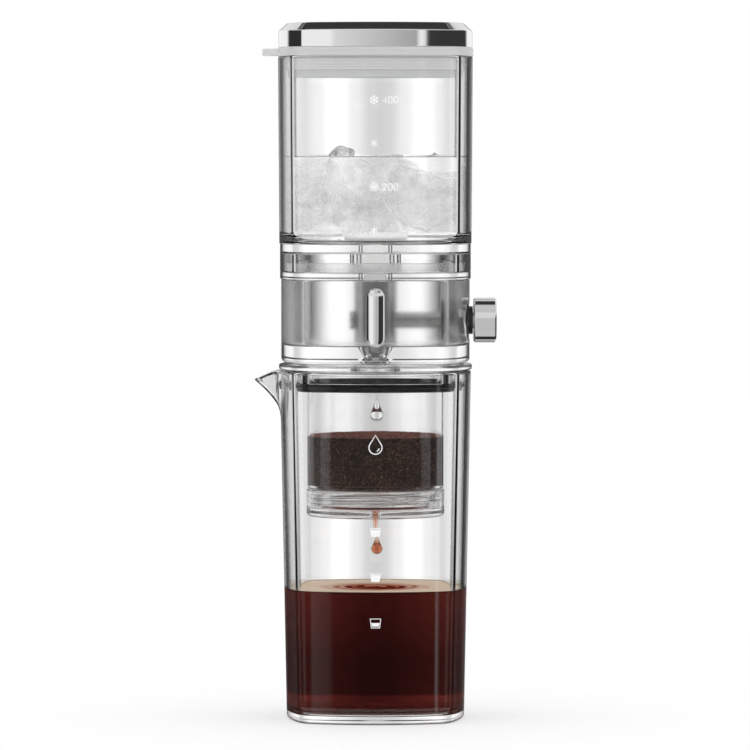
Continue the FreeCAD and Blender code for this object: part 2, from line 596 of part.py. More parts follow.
def spindle_oring():
    """O-ring in the spindle's groove."""
    half = ORING_THICK / 2
    place = V(SPINDLE_END_X + ORING_PLACE, 0, VALVE_Z)
    return Part.makeTorus(SOCKET_RADIUS - RUNNING_FIT - half, half, place, V(1, 0, 0))


def shaft_bush():
    """Black bush that carries the spindle through the housing's wall."""
    inner_x = NUT_SEAT_X - BUSH_NUT_THICK - SEAT_GAP
    flange = shaft(BUSH_FLANGE_RADIUS, BUSH_FACE_X, BUSH_FACE_X + BUSH_FLANGE_THICK)
    collar = shaft(COLLAR_RADIUS, BUSH_FACE_X + BUSH_FLANGE_THICK, COLLAR_FACE_X)
    sleeve = shaft(BUSH_SLEEVE_RADIUS, inner_x, BUSH_FACE_X)
    bore = shaft(SPINDLE_RADIUS + RUNNING_FIT, inner_x - OVERCUT, COLLAR_FACE_X + OVERCUT)
    return one_piece(flange.fuse([collar, sleeve]).cut(bore))


def bush_nut():
    """Nut that draws the bush's flange against the wall."""
    start = NUT_SEAT_X - BUSH_NUT_THICK
    nut = hexagon(BUSH_NUT_HALF, V(start, 0, VALVE_Z), V(BUSH_NUT_THICK, 0, 0))
    bore = shaft(BUSH_SLEEVE_RADIUS + RUNNING_FIT, start - OVERCUT, NUT_SEAT_X + OVERCUT)
    return one_piece(nut.cut(bore))


def knob_screw_x():
    """Where the knob's set screw stands along the spindle."""
    return KNOB_X + SPINDLE_STUB / 2


def knob():
    """Polished metal knob."""
    end_x = KNOB_X + KNOB_LENGTH
    body = shaft(KNOB_RADIUS, KNOB_X, end_x)
    rims = [e for e in body.Edges if e.BoundBox.XLength < RUNNING_FIT]
    body = body.makeChamfer(KNOB_CHAMFER, rims)
    bore = shaft(SPINDLE_STUB_RADIUS + RUNNING_FIT / 2, KNOB_X - OVERCUT, KNOB_X + SPINDLE_STUB + SEAT_GAP)
    hole = rod(KNOB_SCREW_RADIUS + RUNNING_FIT / 2, VALVE_Z - KNOB_RADIUS - OVERCUT, VALVE_Z, knob_screw_x())
    return one_piece(body.cut([bore, hole]))


def knob_screw():
    """Set screw that holds the knob on the spindle."""
    start, end = VALVE_Z - KNOB_RADIUS + KNOB_SCREW_SUNK, VALVE_Z - SPINDLE_STUB_RADIUS
    return rod(KNOB_SCREW_RADIUS, start, end, knob_screw_x())


def deck_plate():
    """Clear plate that closes the housing, with a rim that centres the tank."""
    spigot_half = TANK_BAND_HALF - TANK_WALL - RUNNING_FIT
    spigot = frame(spigot_half, spigot_half - DECK_SPIGOT_WALL, TANK_Z, TANK_Z + DECK_SPIGOT_HEIGHT)
    hole = rod(NIPPLE_RADIUS + RUNNING_FIT, DECK_Z - OVERCUT, TANK_Z + OVERCUT)
    return one_piece(block(DECK_HALF, DECK_Z, TANK_Z).fuse(spigot).cut(hole))


def tank():
    """Water tank: band round the deck's rim, floor with a boss for the nipple, and tall clear walls."""
    lean = (TANK_RIM_HALF - TANK_LOW_HALF) / (TANK_RIM_Z - TANK_SHOULDER_Z)
    band = block(TANK_BAND_HALF, TANK_Z, TANK_SHOULDER_Z)
    walls = tapered(TANK_LOW_HALF, TANK_SHOULDER_Z, TANK_RIM_HALF, TANK_RIM_Z)
    mouth_half = TANK_RIM_HALF - TANK_WALL + lean * OVERCUT
    inside = tapered(TANK_LOW_HALF - TANK_WALL, TANK_SHOULDER_Z, mouth_half, TANK_RIM_Z + OVERCUT)
    inside = rounded(inside, TANK_FLOOR_ROUND, TANK_SHOULDER_Z)
    below = block(TANK_BAND_HALF - TANK_WALL, TANK_Z - OVERCUT, TANK_FLOOR_Z)
    boss = rod(TANK_BOSS_RADIUS, TANK_Z, TANK_FLOOR_Z)
    hole = rod(NIPPLE_RADIUS + RUNNING_FIT, TANK_Z - OVERCUT, TANK_SHOULDER_Z + OVERCUT)
    return one_piece(band.fuse(walls).cut(inside).cut(below).fuse(boss).cut(hole))


def inlet_washer():
    """Silicone washer on the tank's floor."""
    top = TANK_SHOULDER_Z + INLET_WASHER_THICK
    return ring(INLET_WASHER_RADIUS, NIPPLE_RADIUS + RUNNING_FIT, TANK_SHOULDER_Z, top)


def inlet_nut():
    """Nut in the tank that clamps floor, deck and housing on the valve."""
    base = TANK_SHOULDER_Z + INLET_WASHER_THICK
    nut = hexagon(INLET_NUT_HALF, V(0, 0, base), UP * INLET_NUT_THICK)
    bore = rod(NIPPLE_RADIUS + RUNNING_FIT, base - OVERCUT, base + INLET_NUT_THICK + OVERCUT)
    return one_piece(nut.cut(bore))


def lid_cap():
    """Polished metal cap, a pressed sheet with a bevelled top edge."""
    top_z = CAP_Z + CAP_HEIGHT
    bend_z = top_z - CAP_CHAMFER_DOWN
    inner_half = CAP_HALF - CAP_SHEET
    outside = block(CAP_HALF, CAP_Z, bend_z).fuse(tapered(CAP_HALF, bend_z, CAP_HALF - CAP_CHAMFER_IN, top_z))
    inner_bend_z = bend_z - CAP_SHEET / 2
    inner_top_half = inner_half - CAP_CHAMFER_IN
    hollow = block(inner_half, CAP_Z - OVERCUT, inner_bend_z)
    hollow = hollow.fuse(tapered(inner_half, inner_bend_z, inner_top_half, top_z - CAP_SHEET))
    return one_piece(outside.cut(hollow))


def lid_core():
    """Hollow plastic core that fills the cap and carries the seal on its spigot."""
    bottom_z = TANK_RIM_Z - SEAL_PLUG_DEPTH - CORE_LIP_HEIGHT
    ledge_z = CAP_Z + CAP_HEIGHT - CAP_CHAMFER_DOWN - CAP_SHEET
    flange = block(CAP_HALF - CAP_SHEET - RUNNING_FIT, CAP_Z, ledge_z)
    spigot = block(CORE_SPIGOT_HALF, bottom_z, CAP_Z)
    lip = block(CORE_LIP_HALF, bottom_z, bottom_z + CORE_LIP_HEIGHT)
    hollow = block(CORE_SPIGOT_HALF - CORE_WALL, bottom_z + CORE_WALL, ledge_z + OVERCUT)
    return one_piece(flange.fuse([spigot, lip]).cut(hollow))


def lid_seal():
    """Frosted silicone seal: flange between cap and tank, plug with two wiping lips, and a pull tab."""
    lip_half = TANK_RIM_HALF - TANK_WALL - SEAT_GAP
    flange = frame(SEAL_FLANGE_HALF, CORE_SPIGOT_HALF, TANK_RIM_Z, CAP_Z)
    plug = frame(SEAL_PLUG_HALF, CORE_SPIGOT_HALF, TANK_RIM_Z - SEAL_PLUG_DEPTH, TANK_RIM_Z)
    lips = []
    for place in SEAL_LIP_PLACES:
        top_z = TANK_RIM_Z - place
        lips.append(frame(lip_half, CORE_SPIGOT_HALF, top_z - SEAL_LIP_HEIGHT, top_z))
    tab_z = TANK_RIM_Z + (SEAL_FLANGE_THICK - TAB_THICK) / 2
    tab_in = CORE_SPIGOT_HALF + CORE_WALL
    tab_x = TAB_REACH - TAB_HALF_WIDTH
    tongue = Part.makeBox(tab_x - tab_in, 2 * TAB_HALF_WIDTH, TAB_THICK, V(-tab_x, -TAB_HALF_WIDTH, tab_z))
    end = rod(TAB_HALF_WIDTH, tab_z, tab_z + TAB_THICK, -tab_x)
    spigot = block(CORE_SPIGOT_HALF, TANK_RIM_Z, CAP_Z)
    return one_piece(flange.fuse([plug, tongue, end] + lips).cut(spigot))


PIECES = [
    carafe, insert_flange, insert_gasket, filter_cup, filter_screen, screen_seal, filter_base,
    valve_housing, foot_seal, valve_body, drip_nozzle, valve_plug, valve_needle, valve_spindle, spindle_oring,
    shaft_bush, bush_nut, knob, knob_screw, front_pill, deck_plate,
    tank, inlet_washer, inlet_nut, lid_cap, lid_core, lid_seal,
]


def main():
    os.makedirs("parts", exist_ok=True)
    for piece in PIECES:
        solid = piece()
        solid.exportStep("parts/%s.step" % piece.__name__)
        print("%-14s %9.1f mm3" % (piece.__name__, solid.Volume))


main()
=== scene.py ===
# %% [markdown]
# # A cold drip coffee tower
# A glass jug, a clear filter insert, a clear block with a drip valve, a water tank and a metal lid stand on
# each other. The CAD model gives every piece its place, and this script gives each one its fine shape and
# its finish. Nearly every piece has the same plan, a square with bowed sides and round corners, so one
# Geometry Nodes tree sweeps a wall section round that plan and does most of the modelling.

# %% Load the CAD model as a fixed frame
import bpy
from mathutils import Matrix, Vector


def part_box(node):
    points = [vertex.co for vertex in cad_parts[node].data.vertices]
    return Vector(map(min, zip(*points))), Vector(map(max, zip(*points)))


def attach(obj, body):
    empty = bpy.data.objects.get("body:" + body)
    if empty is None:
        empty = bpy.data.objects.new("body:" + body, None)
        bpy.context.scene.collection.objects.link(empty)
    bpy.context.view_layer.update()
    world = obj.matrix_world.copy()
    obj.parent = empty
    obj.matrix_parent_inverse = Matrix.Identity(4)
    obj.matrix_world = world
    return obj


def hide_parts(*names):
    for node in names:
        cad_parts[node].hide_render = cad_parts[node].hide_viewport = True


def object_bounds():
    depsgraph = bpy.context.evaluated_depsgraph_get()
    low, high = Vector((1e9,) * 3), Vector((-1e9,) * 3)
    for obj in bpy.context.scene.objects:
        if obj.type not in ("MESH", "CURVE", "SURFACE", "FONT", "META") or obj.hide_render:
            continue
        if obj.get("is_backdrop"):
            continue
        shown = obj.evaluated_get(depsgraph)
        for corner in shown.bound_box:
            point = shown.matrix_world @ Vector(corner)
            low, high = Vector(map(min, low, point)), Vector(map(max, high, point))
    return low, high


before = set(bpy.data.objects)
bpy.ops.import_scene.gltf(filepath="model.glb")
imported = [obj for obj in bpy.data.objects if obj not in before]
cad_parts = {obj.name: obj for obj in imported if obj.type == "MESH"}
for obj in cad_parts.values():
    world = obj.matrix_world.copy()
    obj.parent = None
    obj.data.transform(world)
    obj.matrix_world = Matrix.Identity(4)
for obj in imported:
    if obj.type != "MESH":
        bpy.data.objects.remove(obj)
frame_box = [list(corner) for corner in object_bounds()]

import math
import random

import bmesh
import bpy
from mathutils import Matrix, Vector, noise

MM = 0.001


# %% One helper that adds a node
MATH = "ShaderNodeMath"
MIX = "ShaderNodeMixRGB"
RAMP = "ShaderNodeValToRGB"
COMBINE = "ShaderNodeCombineXYZ"
SWITCH = "GeometryNodeSwitch"


def add(tree, kind, inputs=(), stops=(), between="LINEAR", **settings):
    """Adds a node. Inputs are values, or sockets and nodes to link from, by name or in order. Stops are
    (position, colour) for a ramp, and settings are the node's own properties."""
    node = tree.nodes.new(kind)
    for name, value in settings.items():
        setattr(node, name, value)
    for name, value in inputs.items() if isinstance(inputs, dict) else enumerate(inputs):
        if isinstance(value, bpy.types.Node):
            value = value.outputs[0]
        if isinstance(value, bpy.types.NodeSocket):
            tree.links.new(value, node.inputs[name])
        else:
            node.inputs[name].default_value = value
    if stops:
        node.color_ramp.interpolation = between
        elements = node.color_ramp.elements
        elements.remove(elements[1])
        for k, (position, colour) in enumerate(stops):
            element = elements.new(position) if k else elements[0]
            element.position, element.color = position, colour
    return node


# %% A group for Geometry Nodes with named inputs
def node_group(name, sockets):
    """A Geometry Nodes group with a geometry input, the named inputs and a geometry output."""
    tree = bpy.data.node_groups.new(name, "GeometryNodeTree")
    tree.interface.new_socket("Geometry", in_out="INPUT", socket_type="NodeSocketGeometry")
    for label, kind in sockets:
        tree.interface.new_socket(label, in_out="INPUT", socket_type="NodeSocket" + kind)
    tree.interface.new_socket("Geometry", in_out="OUTPUT", socket_type="NodeSocketGeometry")
    return tree, tree.nodes.new("NodeGroupInput").outputs


def finish_group(tree, geometry, material):
    """Ends a group: real geometry, smooth faces and one material."""
    real = add(tree, "GeometryNodeRealizeInstances", {"Geometry": geometry})
    smooth = add(tree, "GeometryNodeSetShadeSmooth", {"Geometry": real})
    last = add(tree, "GeometryNodeSetMaterial", {"Geometry": smooth, "Material": material})
    add(tree, "NodeGroupOutput", {"Geometry": last})


# %% [markdown]
# ## From a modifier to a plain mesh
# A Geometry Nodes modifier is live until it is baked. The bake below reads the evaluated object once,
# merges doubled points so that poles and seams are closed, turns the faces outward and marks the sharp
# edges.

# %% Bake a Geometry Nodes object
def tidy(mesh, sharp=35.0, outward=True):
    """Closes seams, turns faces outward and keeps the edges sharper than the angle sharp."""
    bm = bmesh.new()
    bm.from_mesh(mesh)
    bmesh.ops.remove_doubles(bm, verts=bm.verts, dist=2e-6)
    bmesh.ops.dissolve_degenerate(bm, edges=bm.edges, dist=1e-7)
    if outward:
        bmesh.ops.recalc_face_normals(bm, faces=bm.faces)
    bm.to_mesh(mesh)
    bm.free()
    mesh.polygons.foreach_set("use_smooth", [True] * len(mesh.polygons))
    mesh.set_sharp_from_angle(angle=math.radians(sharp))
    return mesh


def grown(name, vertices, edges, tree, values, sharp=35.0, outward=True):
    """An object from a line of points that a node group grows, baked to a plain mesh."""
    line = bpy.data.meshes.new(name + "_line")
    line.from_pydata(vertices, edges, [])
    obj = bpy.data.objects.new(name, line)
    bpy.context.scene.collection.objects.link(obj)
    modifier = obj.modifiers.new("grow", "NODES")
    modifier.node_group = tree
    places = {item.name: item.identifier for item in tree.interface.items_tree if item.in_out == "INPUT"}
    for label, value in values.items():
        modifier[places[label]] = value
    bpy.context.view_layer.update()
    evaluated = obj.evaluated_get(bpy.context.evaluated_depsgraph_get())
    mesh = bpy.data.meshes.new_from_object(evaluated)
    obj.modifiers.clear()
    obj.data = tidy(mesh, sharp, outward)
    obj.data.name = name
    return obj


def box_mm(node):
    """Lowest and highest corner of a CAD node in millimetres."""
    low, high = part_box(node)
    return low / MM, high / MM


# %% [markdown]
# ## Materials: the clear ones
# Glass and clear plastic show mostly what is behind them, and lines of dark and light where a wall turns
# away. Each is a transmissive Principled surface. Light on its way to a lamp or the sky passes straight
# through by way of a Transparent shader, so that clear pieces don't throw black shadows on each other.

# %% Colours and a base for every material
def linear(code):
    """An sRGB hex colour as linear red, green, blue and alpha."""
    parts = [int(code[k:k + 2], 16) / 255 for k in (0, 2, 4)]
    return [c / 12.92 if c <= 0.04045 else ((c + 0.055) / 1.055) ** 2.4 for c in parts] + [1.0]


def material(name, **values):
    """A material with a Principled surface; values go straight to its sockets."""
    made = bpy.data.materials.new(name)
    made.use_nodes = True
    made.node_tree.nodes.clear()
    surface = add(made.node_tree, "ShaderNodeBsdfPrincipled")
    for label, value in values.items():
        surface.inputs[label.replace("_", " ")].default_value = value
    out = add(made.node_tree, "ShaderNodeOutputMaterial", {"Surface": surface})
    return made, made.node_tree, surface, out


def object_noise(tree, size_mm, detail=3.0, roughness=0.5):
    """Noise on Object coordinates whose features are about size_mm wide."""
    place = add(tree, "ShaderNodeTexCoord")
    return add(tree, "ShaderNodeTexNoise", {"Vector": place.outputs["Object"], "Scale": 1 / (size_mm * MM),
                                            "Detail": detail, "Roughness": roughness})


def let_light_through(tree, surface, out, tint):
    """Shadow rays cross the surface instead of stopping at it."""
    clear = add(tree, "ShaderNodeBsdfTransparent", {"Color": linear(tint)})
    path = add(tree, "ShaderNodeLightPath")
    mixed = add(tree, "ShaderNodeMixShader", {0: path.outputs["Is Shadow Ray"], 1: surface, 2: clear})
    tree.links.new(mixed.outputs[0], out.inputs["Surface"])


# %% Glass of the jug: borosilicate, blown into a mould
# A hard, colourless glass with a faint unevenness left by the mould, which makes its reflections waver a
# little.
def make_glass():
    made, tree, surface, out = material("borosilicate_glass_mould_blown", Base_Color=linear("fefefe"),
        Roughness=0.0,
                                        IOR=1.47, Transmission_Weight=1.0)
    tree.links.new(add(tree, "ShaderNodeBump", {"Height": object_noise(tree, 30.0, 1.0), "Strength": 0.25,
        "Distance": 0.05 * MM}).outputs[0], surface.inputs["Normal"])
    let_light_through(tree, surface, out, "fafafa")
    return made


GLASS = make_glass()


# %% Clear plastics: injection-moulded copolyester, polished and sand-blasted
# Moulded clear plastic bends light a little more than glass. Polished faces are slightly wavy, so lines
# seen through them waver. The block's hollow is left matt by the mould, so the valve behind it looks soft.
def make_clear(name, roughness, tint="fefefe", shade="fafafa"):
    made, tree, surface, out = material(name, Base_Color=linear(tint), Roughness=roughness, IOR=1.5,
                                        Transmission_Weight=1.0)
    if roughness:
        tree.links.new(add(tree, "ShaderNodeBump", {"Height": object_noise(tree, 0.6), "Strength": 0.15,
            "Distance": 0.02 * MM}).outputs[0], surface.inputs["Normal"])
    else:
        tree.links.new(add(tree, "ShaderNodeBump", {"Height": object_noise(tree, 24.0, 1.0),
            "Strength": 0.25, "Distance": 0.04 * MM}).outputs[0], surface.inputs["Normal"])
    let_light_through(tree, surface, out, shade)
    return made


CLEAR = make_clear("copolyester_injection_moulded", 0.0)
MATT_CLEAR = make_clear("copolyester_matt_moulded", 0.22)


# %% Silicones: one clouded, one black
# Silicone rubber is soft and slightly waxy. Without pigment it is milky and lets light seep through.
def make_silicone(name, colour, transmission, roughness):
    made, tree, surface, out = material(name, Base_Color=linear(colour), Roughness=roughness, IOR=1.41,
                                        Transmission_Weight=transmission)
    tree.links.new(add(tree, "ShaderNodeBump", {"Height": object_noise(tree, 2.0, 1.0), "Strength": 0.1,
        "Distance": 0.02 * MM}).outputs[0], surface.inputs["Normal"])
    if transmission:
        let_light_through(tree, surface, out, "e4e4e4")
    return made


CLOUDY_SILICONE = make_silicone("silicone_rubber_clouded", "ececec", 0.35, 0.36)
BLACK_SILICONE = make_silicone("silicone_rubber_black", "161617", 0.0, 0.38)


# %% Metals
# Stainless steel, polished to a mirror on the lid, pill and knob, and fine-turned on the parts of the
# valve. Turning leaves grooves about 0.1 mm apart; they are drawn 0.4 mm apart, so that they can be seen.
def make_steel(name, colour, roughness, grooves=None):
    made, tree, surface, out = material(name, Base_Color=linear(colour), Roughness=roughness, Metallic=1.0)
    wear = object_noise(tree, 9.0)
    spread = add(tree, "ShaderNodeMapRange", {0: wear.outputs["Fac"], 3: roughness * 0.85,
        4: roughness * 1.25})
    tree.links.new(spread.outputs[0], surface.inputs["Roughness"])
    if grooves:
        place = add(tree, "ShaderNodeTexCoord")
        rings = add(tree, "ShaderNodeTexWave", {"Vector": place.outputs["Object"],
            "Scale": 1 / (grooves * MM) / 6.28,
                                                "Distortion": 0.4}, wave_type="BANDS", bands_direction="Z")
        tree.links.new(add(tree, "ShaderNodeBump", {"Height": rings.outputs["Fac"], "Strength": 0.25,
            "Distance": 0.02 * MM}).outputs[0], surface.inputs["Normal"])
    return made


POLISHED = make_steel("stainless_steel_mirror_polished", "e9e9ea", 0.06)
TURNED = make_steel("stainless_steel_fine_turned", "c9c9c8", 0.2, 0.4)
MESH_STEEL = make_steel("stainless_steel_etched_sheet", "b5b5b3", 0.28)


# %% Black, white and grey plastics
# Acetal turned for the bush and nuts, black or white with a soft sheen, and grey polypropylene for the
# lid's core. The white one also stands for the thread tape round the valve's stem.
def make_plastic(name, colour, roughness):
    made, tree, surface, out = material(name, Base_Color=linear(colour), Roughness=roughness, IOR=1.48)
    tree.links.new(add(tree, "ShaderNodeBump", {"Height": object_noise(tree, 0.5), "Strength": 0.15,
        "Distance": 0.02 * MM}).outputs[0], surface.inputs["Normal"])
    return made


BLACK_PLASTIC = make_plastic("acetal_black_turned", "121213", 0.32)
CORE_PLASTIC = make_plastic("polypropylene_grey_moulded", "c4c6c6", 0.45)
WHITE_PLASTIC = make_plastic("acetal_white_turned", "f6f6f5", 0.35)
print("finishes so far:", len(bpy.data.materials))

# %% [markdown]
# ## The plan: a square with bowed sides
# Each side is part of a large circle and each corner part of a small one, and they meet without a kink. A
# point of the plan is best named by the direction that the wall faces there, because both circles then give
# it with the same formula. Moving the wall in or out only changes the two radii.

# %% The plan's sizes and the tree that sweeps a wall round it
PLAN_HALF = 41.0
SIDE_BOW = 80.0
CORNER_RADIUS = 12.8
BOW_BACK = SIDE_BOW - PLAN_HALF
BOW_SPAN = SIDE_BOW - CORNER_RADIUS
CORNER_PLACE = (math.sqrt(2 * BOW_SPAN**2 - BOW_BACK**2) - BOW_BACK) / 2
SIDE_ANGLE = math.atan2(CORNER_PLACE, CORNER_PLACE + BOW_BACK)
EVEN_SHARE = SIDE_ANGLE / math.pi


def squared_wall_tree():
    """Sweeps a wall section (x half width, y roundness, z height) round the plan."""
    tree, given = node_group("Squared wall", [
        ("Columns", "Int"), ("Pouring side share", "Float"), ("Plan half", "Float"), ("Side bow", "Float"),
        ("Corner radius", "Float"), ("Corner place", "Float"), ("Side angle", "Float"),
        ("Material", "Material")])
    section = add(tree, "GeometryNodeMeshToCurve", {"Mesh": given["Geometry"]})
    kept = tree.nodes.new("GeometryNodeCaptureAttribute")
    kept.capture_items.new("VECTOR", "Section")
    tree.links.new(section.outputs[0], kept.inputs[0])
    tree.links.new(add(tree, "GeometryNodeInputPosition").outputs[0], kept.inputs[1])
    path = add(tree, "GeometryNodeCurvePrimitiveCircle", {"Resolution": given["Columns"], "Radius": 1.0})
    turned = tree.nodes.new("GeometryNodeCaptureAttribute")
    turned.capture_items.new("FLOAT", "Turn")
    tree.links.new(path.outputs[0], turned.inputs[0])
    tree.links.new(add(tree, "GeometryNodeSplineParameter").outputs["Factor"], turned.inputs[1])
    wall = add(tree, "GeometryNodeCurveToMesh", {"Curve": turned.outputs[0],
        "Profile Curve": kept.outputs[0]})

    turn, share, angle = turned.outputs[1], given["Pouring side share"], given["Side angle"]
    parts = add(tree, "ShaderNodeSeparateXYZ", {0: kept.outputs[1]})
    half, roundness, height = parts.outputs
    low = add(tree, MATH, (math.pi, angle), operation="SUBTRACT")
    high = add(tree, MATH, (math.pi, angle), operation="ADD")
    side_span = add(tree, MATH, (angle, 2.0), operation="MULTIPLY")
    side_share = add(tree, MATH, (turn, share), operation="DIVIDE")
    into_side = add(tree, MATH, (side_share, side_span), operation="MULTIPLY")
    on_side = add(tree, MATH, (low, into_side), operation="ADD")
    past_side = add(tree, MATH, (turn, share), operation="SUBTRACT")
    other_share = add(tree, MATH, (1.0, share), operation="SUBTRACT")
    rest = add(tree, MATH, (past_side, other_share), operation="DIVIDE")
    other_span = add(tree, MATH, (2 * math.pi, side_span), operation="SUBTRACT")
    into_rest = add(tree, MATH, (rest, other_span), operation="MULTIPLY")
    off_side = add(tree, MATH, (high, into_rest), operation="ADD")
    pouring = add(tree, MATH, (turn, share), operation="LESS_THAN")
    facing = add(tree, SWITCH, {"Switch": pouring, "False": off_side, "True": on_side},
                 input_type="FLOAT")
    quarters = add(tree, MATH, (facing, math.pi / 2), operation="DIVIDE")
    nearest = add(tree, MATH, (quarters,), operation="ROUND")
    quarter = add(tree, MATH, (nearest, math.pi / 2), operation="MULTIPLY")
    local = add(tree, MATH, (facing, quarter), operation="SUBTRACT")
    off_middle = add(tree, MATH, (local,), operation="ABSOLUTE")
    bowed = add(tree, MATH, (off_middle, angle), operation="LESS_THAN")
    more = add(tree, MATH, (half, given["Plan half"]), operation="SUBTRACT")
    corner_radius, side_bow, corner = given["Corner radius"], given["Side bow"], given["Corner place"]
    plan_radius = add(tree, SWITCH, {"Switch": bowed, "False": corner_radius, "True": side_bow},
                      input_type="FLOAT")
    radius = add(tree, MATH, (plan_radius, more), operation="ADD")
    back = add(tree, MATH, (given["Plan half"], side_bow), operation="SUBTRACT")
    hand = add(tree, MATH, (local,), operation="SIGN")
    corner_y = add(tree, MATH, (corner, hand), operation="MULTIPLY")
    centre_x = add(tree, SWITCH, {"Switch": bowed, "False": corner, "True": back}, input_type="FLOAT")
    centre_y = add(tree, SWITCH, {"Switch": bowed, "False": corner_y, "True": 0.0}, input_type="FLOAT")
    cosine = add(tree, MATH, (local,), operation="COSINE")
    sine = add(tree, MATH, (local,), operation="SINE")
    out_x = add(tree, MATH, (radius, cosine), operation="MULTIPLY")
    out_y = add(tree, MATH, (radius, sine), operation="MULTIPLY")
    x = add(tree, MATH, (centre_x, out_x), operation="ADD")
    y = add(tree, MATH, (centre_y, out_y), operation="ADD")
    flat = add(tree, COMBINE, {"X": x, "Y": y})
    squared = add(tree, "ShaderNodeVectorRotate", {"Vector": flat, "Angle": quarter},
                  rotation_type="Z_AXIS")
    facing_cosine = add(tree, MATH, (facing,), operation="COSINE")
    facing_sine = add(tree, MATH, (facing,), operation="SINE")
    circle_x = add(tree, MATH, (half, facing_cosine), operation="MULTIPLY")
    circle_y = add(tree, MATH, (half, facing_sine), operation="MULTIPLY")
    circle = add(tree, COMBINE, {"X": circle_x, "Y": circle_y})
    mixed = add(tree, "ShaderNodeMix", {"Factor": roundness}, data_type="VECTOR")
    vectors = [s for s in mixed.inputs if s.type == "VECTOR" and s.name in "AB"]
    tree.links.new(squared.outputs[0], vectors[0])
    tree.links.new(circle.outputs[0], vectors[1])
    plan = next(s for s in mixed.outputs if s.type == "VECTOR")
    lifted = add(tree, "ShaderNodeVectorMath", {0: plan, 1: add(tree, COMBINE, {"Z": height})},
                 operation="ADD")
    placed = add(tree, "GeometryNodeSetPosition", {"Geometry": wall, "Position": lifted})
    finish_group(tree, placed, given["Material"])
    return tree


SQUARED_WALL = squared_wall_tree()
# Inside this radius a floor or ceiling goes over from the squared plan to a circle.
ROUND_WITHIN = 28.5
print("plan: corner centres at %.2f mm, side angle %.1f deg" % (CORNER_PLACE, math.degrees(SIDE_ANGLE)))


# %% A wall section with rounded corners
def section_points(corners, closed):
    """Corners are (half width, height, round, roundness). Each round becomes a short arc with a point close
    by on each side, so that smooth shading stays flat on the long faces."""
    count = len(corners)
    points = []
    for k, (half, height, radius, roundness) in enumerate(corners):
        here = Vector((half, height))
        ends = not closed and k in (0, count - 1)
        if ends or radius <= 0:
            points.append((half, roundness, height))
            continue
        before, after = corners[k - 1], corners[(k + 1) % count]
        to_before = Vector(before[:2]) - here
        to_after = Vector(after[:2]) - here
        room = min(to_before.length, to_after.length)
        inside = to_before.angle(to_after)
        reach = min(radius / math.tan(inside / 2), room * 0.49)
        radius = reach * math.tan(inside / 2)
        start, end = here + to_before.normalized() * reach, here + to_after.normalized() * reach
        halfway = (to_before.normalized() + to_after.normalized()).normalized()
        middle = here + halfway * radius / math.sin(inside / 2)
        steps = max(2, round(math.degrees(math.pi - inside) / 18))
        support = min(0.35, room * 0.5 - reach)
        near = []
        if support > 0.02:
            near.append(start + to_before.normalized() * support)
        first = start - middle
        swing = first.angle_signed(end - middle)
        for step in range(steps + 1):
            a = swing * step / steps
            near.append(middle + Matrix.Rotation(-a, 2) @ first)
        if support > 0.02:
            near.append(end + to_after.normalized() * support)
        points += [(p.x, roundness, p.y) for p in near]
    return points


def squared_piece(name, corners, coating, closed=True, columns=192, share=EVEN_SHARE, rows=()):
    """A piece whose wall section goes round the plan. Rows are heights where long upright faces are cut."""
    points = section_points(corners, closed)
    cut = []
    for k, p in enumerate(points):
        cut.append(p)
        q = points[(k + 1) % len(points)]
        if k + 1 < len(points) or closed:
            between = sorted((z for z in rows if min(p[2], q[2]) + 0.05 < z < max(p[2], q[2]) - 0.05),
                             reverse=p[2] > q[2])
            cut += [(p[0] + (q[0] - p[0]) * (z - p[2]) / (q[2] - p[2]), p[1], z) for z in between]
    vertices = [(h * MM, r, z * MM) for h, r, z in cut]
    edges = [(k, k + 1) for k in range(len(cut) - 1)] + ([(len(cut) - 1, 0)] if closed else [])
    values = {"Columns": columns, "Pouring side share": share, "Plan half": PLAN_HALF * MM,
        "Side bow": SIDE_BOW * MM,
              "Corner radius": CORNER_RADIUS * MM, "Corner place": CORNER_PLACE * MM,
              "Side angle": SIDE_ANGLE,
              "Material": coating}
    return grown(name, vertices, edges, SQUARED_WALL, values)


def even_rows(low, high, step):
    """Heights between two levels, about step apart."""
    count = max(1, round((high - low) / step))
    return [low + (high - low) * k / count for k in range(1, count)]


# %% [markdown]
# ## The jug
# A pressed-and-blown glass jug has an even wall, a thick foot and a fire-polished rim. Its spout is pulled
# out of one side while the glass is soft, so here too the wall is swept first, with many columns on the
# pouring side, and those columns are then pulled out to the spout's plan at each height.

# %% Sweep the jug's wall
JUG_TOP = box_mm("carafe")[1].z
FOOT_HALF, RIM_HALF, JUG_WALL, JUG_FLOOR = 38.1, 41.0, 2.3, 3.6


def jug_half(z):
    """Half width of the jug's outside at a height."""
    return FOOT_HALF + (RIM_HALF - FOOT_HALF) * z / JUG_TOP


SPOUT_DEPTH, SPOUT_DROP, SPOUT_LIP_RUN = 20.4, 3.5, 7.7
spout_foot = JUG_TOP - SPOUT_DEPTH
jug_corners = [
    (0, 0.9, 0, 1), (24, 0.9, 0, 1), (33.5, 0.9, 1.0, 0), (34.6, 0, 0.8, 0), (FOOT_HALF, 0, 2.4, 0),
    (RIM_HALF, JUG_TOP, 1.0, 0),
    (RIM_HALF - JUG_WALL, JUG_TOP, 1.0, 0), (jug_half(JUG_FLOOR) - JUG_WALL, JUG_FLOOR, 3.0, 0),
    (24, JUG_FLOOR, 0, 1), (0, JUG_FLOOR, 0, 1)]
jug = squared_piece("jug_glass", jug_corners, GLASS, closed=False, columns=400, share=0.34,
                    rows=even_rows(JUG_FLOOR + 5, spout_foot, 14) + even_rows(spout_foot - 2, JUG_TOP - 1.4,
                    1.1))
print("jug:", len(jug.data.polygons), "faces")


